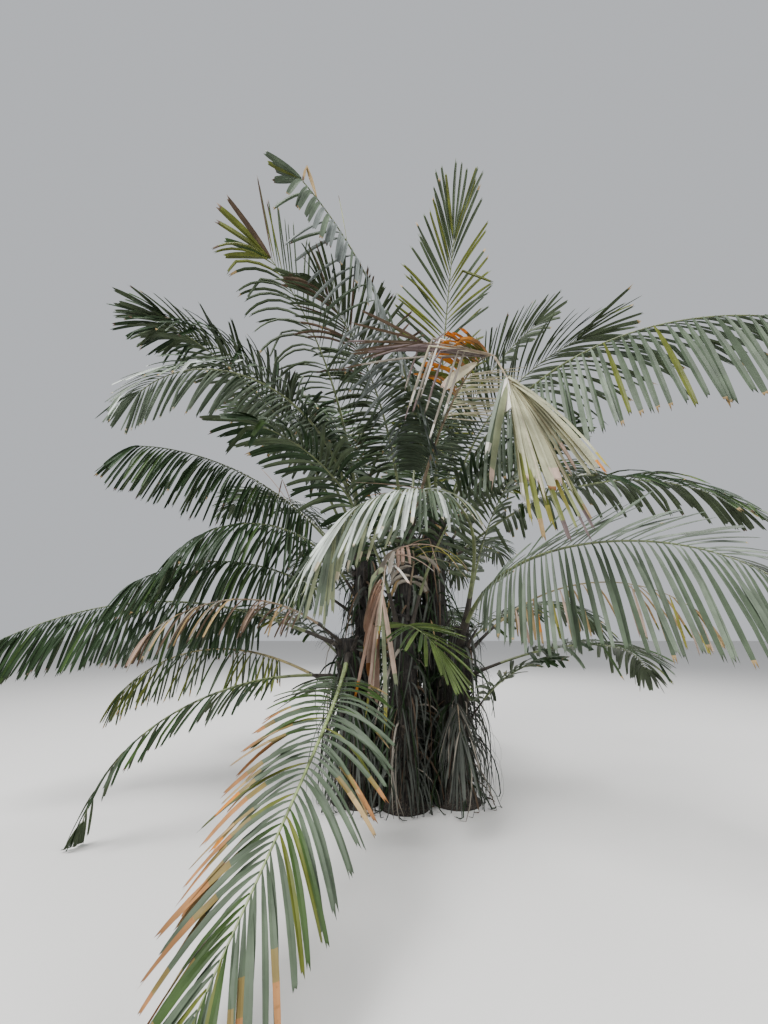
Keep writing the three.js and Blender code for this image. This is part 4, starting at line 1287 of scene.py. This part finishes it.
def fibre_material(name, colour, light):
    """Matted fibre with lighter strands that run upright, darkened towards the crown as painted shade."""
    material, nodes, links, shader = node_material(name)
    if nodes is None:
        return material
    coordinates = nodes.new("ShaderNodeTexCoord").outputs["Object"]
    strands = add_noise(nodes, links, coordinates, FIBRE_SCALE, FIBRE_DETAIL, FIBRE_STRETCH)
    base = add_ramp(nodes, links, strands, shades(colour, (*FIBRE, (LIGHTEST_AT, light))))
    dust = add_ramp(nodes, links, add_noise(nodes, links, coordinates, DUST_SCALE), DUST)
    dusty = add_mix(nodes, links, "MULTIPLY", DUST_SHARE, base, dust)
    # Painted shade: the colour darkens with height towards the crown
    height = nodes.new("ShaderNodeSeparateXYZ")
    links.new(coordinates, height.inputs["Vector"])
    heights = (UNSHADED_BELOW, SHADED_ABOVE)
    crown_shade = add_range(nodes, links, height.outputs["Z"], heights, (1.0, CROWN_SHADE_SHARE))
    links.new(add_mix(nodes, links, "MULTIPLY", 1.0, dusty, crown_shade), shader.inputs["Base Color"])
    shader.inputs["Roughness"].default_value = FIBRE_ROUGHNESS
    add_bump(nodes, links, shader, strands, *FIBRE_RELIEF)
    return material


def plain_material(name, colour, roughness):
    """An even, matt finish for the stage."""
    material, nodes, _, shader = node_material(name)
    if nodes is not None:
        shader.inputs["Base Color"].default_value = (*colour, 1)
        shader.inputs["Roughness"].default_value = roughness
    return material


# Pieces


# A stem's skin: its grid, the sheath rims with their pitch, spirals, waver, level and fading to the foot,
# the strands with their cells round the stem and the share of the finer ones, and the closing top
SKIN_ROWS = 110
SKIN_COLUMNS = 72
ROWS_PER_CELL = 6
SHEATH_PITCH = 0.13
SHEATH_SPIRALS = 2
SHEATH_WAVER = 0.25
WAVER_CELLS = 6
RIM_LEVEL = 0.35
RIM_FADE = 0.25
LEAST_RIM = 0.2
STRAND_CELLS = (36, 18)
FINER_SHARE = 0.6
TOP_NARROWING = 0.6
SKIN_LIGHT = 4.2


def smooth_noise(rng, around):
    """Soft random heights from -1 to 1 over a stem's grid, blended from as many coarse cells round it."""
    coarse = rng.uniform(-1, 1, (SKIN_ROWS // ROWS_PER_CELL, around))
    coarse = np.concatenate([coarse, coarse[:, :1]], axis=1)
    down = np.linspace(0, coarse.shape[0] - 1, SKIN_ROWS)
    over = np.linspace(0, around, SKIN_COLUMNS + 1)[:-1]
    i, j = np.minimum(down.astype(int), coarse.shape[0] - 2), over.astype(int)
    fi, fj = (down - i)[:, None], (over - j)[None, :]
    fi, fj = fi * fi * (3 - 2 * fi), fj * fj * (3 - 2 * fj)
    a, b = coarse[i][:, j], coarse[i][:, j + 1]
    c, d = coarse[i + 1][:, j], coarse[i + 1][:, j + 1]
    return (a * (1 - fj) + b * fj) * (1 - fi) + (c * (1 - fj) + d * fj) * fi


def stem_piece(name, stem, settings):
    """A stem's skin, closed at its ends: radius by height, plus sheath rims in a spiral and strands."""
    rng = seeded(f"stem {name}")
    z = np.linspace(0, stem["height"], SKIN_ROWS)
    turn = 2 * np.pi * np.arange(SKIN_COLUMNS) / SKIN_COLUMNS
    radius = stem_radius(stem, z)[:, None] + np.zeros(SKIN_COLUMNS)[None]
    waver = SHEATH_WAVER * smooth_noise(rng, WAVER_CELLS)
    rim = (z[:, None] / SHEATH_PITCH + turn[None] / (2 * np.pi) * SHEATH_SPIRALS + waver) % 1
    fade = np.clip(z / RIM_FADE, LEAST_RIM, 1)[:, None]
    radius = radius + settings.sheath_relief * (rim ** 2 - RIM_LEVEL) * fade
    broad, fine = (smooth_noise(rng, cells) for cells in STRAND_CELLS)
    radius = radius + settings.strand_relief * (broad + FINER_SHARE * fine)
    radius[-1] *= TOP_NARROWING
    around = np.stack([np.cos(turn), np.sin(turn), 0 * turn], axis=-1)
    rings = stem_axis(stem, z)[:, None, :] + around[None] * radius[..., None]
    heap = Heap()
    heap.add(rings, tube_faces(SKIN_ROWS, SKIN_COLUMNS), 0)
    skin = fibre_material("stem_fibre", tuple(settings.colour), SKIN_LIGHT)
    finish_piece(heap.build(f"stem_skin_{name}", [skin]), [f"stem_{name}"])


# Strands that hang on a stem: where they start, their seat in it, their length and its growth with height,
# their reach away from it and scatter aside, their half width, and how thin blades narrow to their ends
STRANDS_FROM = 0.12
STRANDS_OVER = 0.05
STRAND_SEAT = 0.96
STRAND_LENGTH = (0.06, 0.30)
STRAND_GROWTH = (0.35, 1.2)
FULL_STRAND_HEIGHT = 0.5
STRAND_STATIONS = 5
STRAND_REACH = (0.004, 0.05)
STRAND_ARC = 1.8
STRAND_ASIDE = 0.022
STRAND_HALF = (0.0006, 0.0028)
STRAND_THICKNESS = 0.0005
GREY_STRAND = (0.085, 0.080, 0.072)
STRAND_LIGHT = 2.2
BLADE_TAPER = 0.75

# Hairs round a frond's root: the share of the rib that they cover, their reach, and how far they run ahead,
# lean away and sag in shares of that reach
HAIRS = 70
HAIR_ZONE = 0.075
HAIR_REACH = (0.03, 0.14)
HAIR_AHEAD = 0.7
HAIR_LEAN = (0.1, 0.6)
HAIR_SAG = (0.2, 1.1)
HAIR_HALF = (0.0005, 0.0016)
HAIR_THICKNESS = 0.0004
HAIR_LIGHT = 2.5


def drawn(rng, limits, count):
    """Random numbers between two limits, one for each blade, as (blade, 1, 1)."""
    return rng.uniform(*limits, count)[:, None, None]


def strand_paths(rng, stem, count):
    """Loose strands: each starts on the stem, leans away a little and hangs down under its weight."""
    z = rng.uniform(STRANDS_FROM, stem["height"] + STRANDS_OVER, count)
    out = direction(rng.uniform(0, 360, count), np.zeros(count))
    seat = stem_radius(stem, np.minimum(z, stem["height"])) * STRAND_SEAT
    start = stem_axis(stem, z) + out * seat[:, None]
    length = rng.uniform(*STRAND_LENGTH, count) * np.clip(z / FULL_STRAND_HEIGHT, *STRAND_GROWTH)
    share = np.linspace(0, 1, STRAND_STATIONS)
    away = drawn(rng, STRAND_REACH, count) * np.sin(share * STRAND_ARC)[None, :, None]
    aside = np.cross(out, UP) * rng.normal(0, STRAND_ASIDE, count)[:, None]
    fall = length[:, None, None] * share[None, :, None]
    points = start[:, None] + out[:, None] * away + aside[:, None] * share[None, :, None] ** 2 - UP * fall
    points[..., 2] = np.maximum(points[..., 2], LEAST_HEIGHT)
    return points, out


def thin_blades(paths, facing, half, thick):
    """Thin four-sided blades along paths, as (blade, station, corner, xyz), narrowing to their ends."""
    ahead = unit(np.gradient(paths, axis=1))
    across = unit(np.cross(ahead, facing[:, None, :]))
    up = np.cross(across, ahead)
    share = np.linspace(0, 1, paths.shape[1])
    taper = (1 - BLADE_TAPER * share ** 2)[None, :, None]
    return np.stack([
        paths - across * half * taper, paths + up * thick * taper,
        paths + across * half * taper, paths - up * thick * taper,
    ], axis=2)


def add_blades(heap, blades, numbers, mapped):
    """Adds thin blades to a heap as quads, with one material number for each blade. Mapped ones get UVs
    from 0 to 1, across and along.
    """
    count, stations = blades.shape[:2]
    one = tube_faces(stations, CORNERS)
    faces = one[None] + (np.arange(count) * CORNERS * stations)[:, None, None]
    uvs = None
    if mapped:
        uvs = np.stack([ACROSS[one % CORNERS], (one // CORNERS) / (stations - 1)], axis=-1)
        uvs = np.repeat(uvs[None], count, axis=0).reshape(-1, 4, 2)
    heap.add(blades, faces.reshape(-1, 4), np.repeat(numbers, len(one)), uvs)


def hair_paths(rng, rib):
    """Hairs round the root of a rib: each runs ahead with the rib, leans away from it and sags."""
    point, tangent, side, normal, width = rib_at(rib, rng.uniform(0.0, HAIR_ZONE, HAIRS))
    turn = rng.uniform(0, 2 * np.pi, HAIRS)[:, None]
    outward = unit(side * np.cos(turn) + normal * np.sin(turn))
    start = point + outward * (width / 2)[:, None]
    share = np.linspace(0, 1, STRAND_STATIONS)[None, :, None]
    reach, lean, sag = (drawn(rng, limits, HAIRS) for limits in (HAIR_REACH, HAIR_LEAN, HAIR_SAG))
    run = tangent[:, None] * share * HAIR_AHEAD + outward[:, None] * lean * share - UP * sag * share ** 2
    return start[:, None] + reach * run, outward


def fibre_piece(name, stem, fronds, settings):
    """Black and grey strands that hang on a stem, and black sheath hairs round the root of each frond."""
    rng = seeded(f"fibre {name}")
    heap = Heap()
    count = int(settings.strands * stem["height"])
    paths, out = strand_paths(rng, stem, count)
    blades = thin_blades(paths, out, drawn(rng, STRAND_HALF, count), STRAND_THICKNESS)
    add_blades(heap, blades, rng.integers(0, 2, count), False)
    for frond in fronds:
        paths, outward = hair_paths(rng, frond["rib"])
        blades = thin_blades(paths, outward, drawn(rng, HAIR_HALF, HAIRS), HAIR_THICKNESS)
        add_blades(heap, blades, np.zeros(HAIRS, int), False)
    materials = [
        fibre_material("sheath_hair", tuple(settings.colour), HAIR_LIGHT),
        fibre_material("grey_strand", GREY_STRAND, STRAND_LIGHT),
    ]
    finish_piece(heap.build(f"fibre_{name}", materials), [f"stem_{name}"])


# Old leaf bases: where they start and stop on the stem, their turn from one to the next, their length, rise
# and curve, their seat in the stem, the radii of root and end, their flatness and their ragged cut
STUBS_FROM = 0.22
STUBS_BELOW_TOP = 0.10
STUB_TURN = 137.5
STUB_SCATTER = 14
STUB_STATIONS = 7
STUB_SIDES = 8
STUB_LENGTH = (0.10, 0.30)
STUB_RISE = (50, 74)
STUB_CURVE = 16
STUB_SEAT = 0.02
STUB_ROOT = (0.024, 0.034)
STUB_END = (0.010, 0.016)
STUB_TAPER = 0.7
STUB_FLATNESS = 0.45
STUB_RAGGED = 0.018
STUB_COLOUR = (0.060, 0.048, 0.036)
STUB_LIGHT = 2.6


def stub_piece(name, stem, settings):
    """Old leaf bases: curved, tapering stubs that lean up and out of the stem and end in a ragged cut."""
    rng = seeded(f"stubs {name}")
    heap = Heap()
    count = int(settings.stubs * stem["height"])
    share = np.linspace(0, 1, STUB_STATIONS)
    for i in range(count):
        z = mix(STUBS_FROM, stem["height"] - STUBS_BELOW_TOP, (i + 0.5) / count)
        azimuth = (i * STUB_TURN + rng.uniform(-STUB_SCATTER, STUB_SCATTER)) % 360
        out = direction(azimuth, 0.0)
        side = np.repeat(direction(azimuth - 90, 0.0)[None], STUB_STATIONS, axis=0)
        length = rng.uniform(*STUB_LENGTH)
        tilt = np.radians(rng.uniform(*STUB_RISE) - STUB_CURVE * share)
        heading = out[None] * np.cos(tilt)[:, None] + UP[None] * np.sin(tilt)[:, None]
        seat = stem_axis(stem, z) + out * (stem_radius(stem, z) - STUB_SEAT)
        path = seat + np.cumsum(heading, axis=0) * length / STUB_STATIONS
        radii = mix(rng.uniform(*STUB_ROOT), rng.uniform(*STUB_END), share ** STUB_TAPER)
        rings = tube(path, side, np.cross(side, heading), radii, STUB_SIDES, STUB_FLATNESS)
        rings[-1] += heading[-1] * rng.uniform(-STUB_RAGGED, STUB_RAGGED, (STUB_SIDES, 1))
        heap.add(rings, tube_faces(STUB_STATIONS, STUB_SIDES), 0)
    material = fibre_material("old_leaf_base", STUB_COLOUR, STUB_LIGHT)
    finish_piece(heap.build(f"leaf_bases_{name}", [material]), [f"stem_{name}"])


# Limp dead leaflets: the curves they follow, and the places of the thatch in shares of the stem and of the
# skirt in metres. THATCH and SKIRT give length, reach away, rise before the fall, half width and shares of
# the tints.
LIMP_STATIONS = 8
LIMP_SEAT = 0.95
LIMP_ARC = 2.2
LIMP_ARC_CURVE = 0.8
LIMP_ASIDE = 0.10
LIMP_FALL_CURVE = 1.35
LIMP_FACING = 0.5
LIMP_THICKNESS = 0.0012
LIMP_TINTS = ("brown_dead", "grey_dead", "dusty", "tan", "deep")
THATCH_SHARES = (0.22, 1.0)
THATCH_CURVE = 0.7
SKIRT_HEIGHTS = (0.16, 0.80)
# Half of the crown's thatch is deep green strips, dark leaflets that paint the shade in the crown
THATCH = ((0.25, 0.65), (0.02, 0.20), 0.10, (0.006, 0.014), (0.08, 0.03, 0.38, 0.01, 0.50))
SKIRT = ((0.25, 0.75), (0.05, 0.26), 0.05, (0.005, 0.010), (0.08, 0.08, 0.72, 0.0, 0.12))


def limp_paths(rng, stem, z, length, away, lift):
    """Paths of limp leaflets: each starts on the stem at height z, leans out by `away`, rises by up to
    `lift` and hangs down by `length`.
    """
    count = z.size
    out = direction(rng.uniform(0, 360, count), np.zeros(count))
    start = stem_axis(stem, z) + out * (stem_radius(stem, z) * LIMP_SEAT)[:, None]
    share = np.linspace(0, 1, LIMP_STATIONS)
    arc = np.sin(share * LIMP_ARC)[None, :, None] ** LIMP_ARC_CURVE
    outward = drawn(rng, away, count) * arc
    aside = np.cross(out, UP) * rng.normal(0, LIMP_ASIDE, count)[:, None]
    rise = drawn(rng, (0, lift), count) * np.sin(share * np.pi)[None, :, None]
    fall = drawn(rng, length, count) * (share ** LIMP_FALL_CURVE)[None, :, None]
    paths = start[:, None] + out[:, None] * outward + aside[:, None] * share[None, :, None]
    paths = paths + UP * (rise - fall)
    paths[..., 2] = np.maximum(paths[..., 2], LEAST_AXIS_HEIGHT)
    return paths, unit(out + rng.normal(0, LIMP_FACING, (count, 3)))


def thatch_piece(name, stem, settings):
    """Dead leaflets caught in the crown and along the stem, and a dusty skirt of them round the foot; the
    dark green ones in the crown are painted shade.
    """
    rng = seeded(f"thatch {name}")
    count = int(settings.thatch * stem["height"])
    crown = stem["height"] * rng.uniform(*THATCH_SHARES, count) ** THATCH_CURVE
    foot = rng.uniform(*SKIRT_HEIGHTS, settings.skirt)
    heap = Heap()
    for z, (length, away, lift, half, chances) in ((crown, THATCH), (foot, SKIRT)):
        paths, facing = limp_paths(rng, stem, z, length, away, lift)
        numbers = rng.choice(len(LIMP_TINTS), z.size, p=chances)
        blades = thin_blades(paths, facing, drawn(rng, half, z.size), LIMP_THICKNESS)
        blades[..., 2] = np.maximum(blades[..., 2], LEAST_HEIGHT)
        add_blades(heap, blades, numbers, True)
    materials = [leaf_material(tint) for tint in LIMP_TINTS]
    finish_piece(heap.build(f"thatch_{name}", materials, CORNERS), [f"stem_{name}"])


# Ribs: their grid, how their stations crowd to the root, the clasp that widens the root and how far it
# reaches, their flatness, and how deep their middle lies under the leaflets, in shares of their width
RIB_STATIONS = 64
RIB_SIDES = 10
RIB_CROWDING = 1.15
CLASP = 0.9
CLASP_REACH = 0.07
RIB_FLATNESS = 0.78
RIB_SINK = 0.35


def rib_tint(frond):
    """The finish of a frond's rib: its own, or the one of its looks."""
    return habit_of(frond)["rib"] or RIB_TINTS[frond["looks"]]


def frond_nodes(fronds):
    """Names of the solids that the fine pieces of these fronds stand for."""
    nodes = []
    for frond in fronds:
        nodes.append(f"frond_{frond['name']}")
        if frond["name"] in SPLIT_NODES:
            nodes.append(SPLIT_NODES[frond["name"]])
    return nodes


def rib_piece(name, fronds):
    """Ribs of one crown: rounded stalks that clasp the stem at the root and thin out to the tip."""
    heap = Heap()
    slots = ["rib_scurf"] + sorted({rib_tint(frond) for frond in fronds})
    quads = tube_faces(RIB_STATIONS, RIB_SIDES)
    share = np.linspace(0, 1, RIB_STATIONS) ** RIB_CROWDING
    for frond in fronds:
        point, _, side, normal, width = rib_at(frond["rib"], share)
        clasp, scurf_end = 1, 0
        if not frond["hanging"]:
            clasp = 1 + CLASP * np.exp(-share * frond["length"] / CLASP_REACH)
            scurf_end = SCURF_REACH
        middle = point - normal * (width * RIB_SINK)[:, None]
        rings = tube(middle, side, normal, width / 2 * clasp, RIB_SIDES, RIB_FLATNESS)
        rings[..., 2] = np.maximum(rings[..., 2], LEAST_HEIGHT)
        scurfy = share[quads[:, 0] // RIB_SIDES] * frond["length"] < scurf_end
        heap.add(rings, quads, np.where(scurfy, 0, slots.index(rib_tint(frond))))
    piece = heap.build(f"ribs_{name}", [rib_material(tint) for tint in slots])
    finish_piece(piece, frond_nodes(fronds))


def leaflet_piece(name, looks, fronds, settings):
    """Leaflets of one crown with like looks, joined, with their tints as material slots."""
    slots, heap = [], Heap()

    def numbered(tints):
        """Slot numbers of tints, which become slots in the order they come in."""
        slots.extend(tint for tint in dict.fromkeys(tints.ravel()) if tint not in slots)
        return np.vectorize(slots.index, otypes=[np.int32])(tints).reshape(-1)

    for frond in fronds:
        palette = {**PALETTE, **PALETTES.get(frond["name"], PALETTES[looks])}
        rings, spot = leaflet_rings(frond, settings)
        faces, uvs = strip_mesh(rings, spot["hand"])
        tints = leaflet_tints(spot, rings.shape[1], palette, seeded(frond["name"] + " tints"))
        heap.add(rings, faces, numbered(tints), uvs)
        rings, pairs = loose_rings(frond, settings)
        if pairs:
            count, stations = rings.shape[:2]
            top, tip = (np.array([pair[i] for pair in pairs], dtype=object) for i in (0, 1))
            faces, uvs = strip_mesh(rings, np.ones(count))
            tints = strip_tints(stations, top, top, tip, np.full(count, stations - LOOSE_TIP))
            heap.add(rings, faces, numbered(tints), uvs)
    piece = heap.build(f"leaflets_{name}_{looks}", [leaf_material(tint) for tint in slots], CORNERS)
    finish_piece(piece, frond_nodes(fronds))


# Operators


FRONDS = grow_fronds()

# Stage: half side and finish of the floor, and the lamps with place, height of what they light and share of
# the key's power
FLOOR_HALF = 60.0
FLOOR_COLOUR = (0.62, 0.61, 0.59)
FLOOR_ROUGHNESS = 0.9
SKY_COLOUR = (0.92, 0.95, 1.0, 1)
LAMPS = {
    "key": ((-4.5, -5.5, 9.5), 2.4, 1.0),
    "fill": ((6.5, -3.0, 6.0), 2.2, 0.35),
    "rim": ((1.0, 8.0, 8.5), 2.8, 0.5),
}
LAMP_SIZE = 5.0
SENSOR_WIDTH = 36.0
CLIP_START = 0.05
CLIP_END = 200.0


def on_stem(name):
    """The fronds of one stem."""
    return [frond for frond in FRONDS if frond["stem"] == name]


class PALM_OT_stems(Operator):
    """Make the stems with their sheath rims and strands"""

    bl_idname = "palm.stems"
    bl_label = "Stems"

    def execute(self, context):
        settings = context.scene.palm_stems
        for name, stem in STEMS.items():
            stem_piece(name, stem, settings)
        return {"FINISHED"}


class PALM_OT_leaf_bases(Operator):
    """Make the old leaf bases on the stems"""

    bl_idname = "palm.leaf_bases"
    bl_label = "Old leaf bases"

    def execute(self, context):
        settings = context.scene.palm_stems
        for name, stem in STEMS.items():
            stub_piece(name, stem, settings)
        return {"FINISHED"}


class PALM_OT_fibre(Operator):
    """Make the hanging strands and the black hair of the sheaths"""

    bl_idname = "palm.fibre"
    bl_label = "Fibre"

    def execute(self, context):
        settings = context.scene.palm_stems
        for name, stem in STEMS.items():
            rooted = [frond for frond in on_stem(name) if not frond["hanging"]]
            fibre_piece(name, stem, rooted, settings)
        return {"FINISHED"}


class PALM_OT_thatch(Operator):
    """Make the dead leaflets that hang in the crowns"""

    bl_idname = "palm.thatch"
    bl_label = "Thatch"

    def execute(self, context):
        settings = context.scene.palm_stems
        for name, stem in STEMS.items():
            thatch_piece(name, stem, settings)
        return {"FINISHED"}


class PALM_OT_ribs(Operator):
    """Make the ribs of every frond"""

    bl_idname = "palm.ribs"
    bl_label = "Ribs"

    def execute(self, context):
        for name in STEMS:
            rib_piece(name, on_stem(name))
        return {"FINISHED"}


class PALM_OT_leaflets(Operator):
    """Make the leaflets of every frond, joined by crown and looks"""

    bl_idname = "palm.leaflets"
    bl_label = "Leaflets"

    def execute(self, context):
        settings = context.scene.palm_leaflets
        for name in STEMS:
            fronds = on_stem(name)
            for looks in sorted({frond["looks"] for frond in fronds}):
                leaflet_piece(name, looks, [frond for frond in fronds if frond["looks"] == looks], settings)
        return {"FINISHED"}


class PALM_OT_stage(Operator):
    """Make the floor, the light and the camera"""

    bl_idname = "palm.stage"
    bl_label = "Stage"

    def execute(self, context):
        scene, settings = context.scene, context.scene.palm_stage
        corners = FLOOR_HALF * np.array([[-1, -1, 0], [1, -1, 0], [1, 1, 0], [-1, 1, 0]], float)
        finish = plain_material("pale_floor", FLOOR_COLOUR, FLOOR_ROUGHNESS)
        floor = build_mesh("floor", corners, np.array([[0, 1, 2, 3]]), [finish])
        world = bpy.data.worlds.new("studio")
        world.use_nodes = True
        background = world.node_tree.nodes["Background"]
        background.inputs["Color"].default_value = SKY_COLOUR
        background.inputs["Strength"].default_value = settings.sky
        scene.world = world
        for name, (place, aim, power) in LAMPS.items():
            data = bpy.data.lights.new(name, "AREA")
            data.energy = settings.key * power
            data.size = LAMP_SIZE
            lamp = bpy.data.objects.new(name, data)
            heading = unit(UP * aim - np.array(place))
            lamp.location = place
            lamp.rotation_mode = "QUATERNION"
            lamp.rotation_quaternion = Vector(heading).to_track_quat("-Z", "Y")
            scene.collection.objects.link(lamp)
        lens = bpy.data.cameras.new("photo_view")
        lens.lens = settings.lens
        lens.sensor_width = SENSOR_WIDTH
        lens.clip_start = CLIP_START
        lens.clip_end = CLIP_END
        camera = bpy.data.objects.new("photo_view", lens)
        camera.location = settings.camera
        camera.rotation_euler = (math.pi / 2 + settings.pitch, 0, 0)
        scene.collection.objects.link(camera)
        scene.camera = camera
        return {"FINISHED"}


class PALM_PT_panel(Panel):
    """The palm's steps, in order"""

    bl_idname = "PALM_PT_panel"
    bl_label = "Formosa palm"
    bl_space_type = "VIEW_3D"
    bl_region_type = "UI"
    bl_category = "Palm"

    def draw(self, context):
        layout = self.layout
        for operator in OPERATORS:
            layout.operator(operator.bl_idname)
        for group in (context.scene.palm_stems, context.scene.palm_leaflets, context.scene.palm_stage):
            for key in group.__annotations__:
                layout.prop(group, key)


OPERATORS = (
    PALM_OT_stems, PALM_OT_leaf_bases, PALM_OT_fibre, PALM_OT_thatch, PALM_OT_ribs, PALM_OT_leaflets,
    PALM_OT_stage,
)
GROUPS = {"palm_stems": StemSettings, "palm_leaflets": LeafletSettings, "palm_stage": StageSettings}


def register():
    """Registers the settings, the operators and the panel."""
    for name, group in GROUPS.items():
        bpy.utils.register_class(group)
        setattr(bpy.types.Scene, name, PointerProperty(type=group))
    for operator in OPERATORS:
        bpy.utils.register_class(operator)
    bpy.utils.register_class(PALM_PT_panel)


def unregister():
    """Takes away what register added."""
    bpy.utils.unregister_class(PALM_PT_panel)
    for operator in reversed(OPERATORS):
        bpy.utils.unregister_class(operator)
    for name, group in GROUPS.items():
        delattr(bpy.types.Scene, name)
        bpy.utils.unregister_class(group)


def main():
    register()
    bpy.ops.palm.stems()
    bpy.ops.palm.leaf_bases()
    bpy.ops.palm.fibre()
    bpy.ops.palm.thatch()
    bpy.ops.palm.ribs()
    bpy.ops.palm.leaflets()
    bpy.ops.palm.stage()


if __name__ == "__main__":
    main()
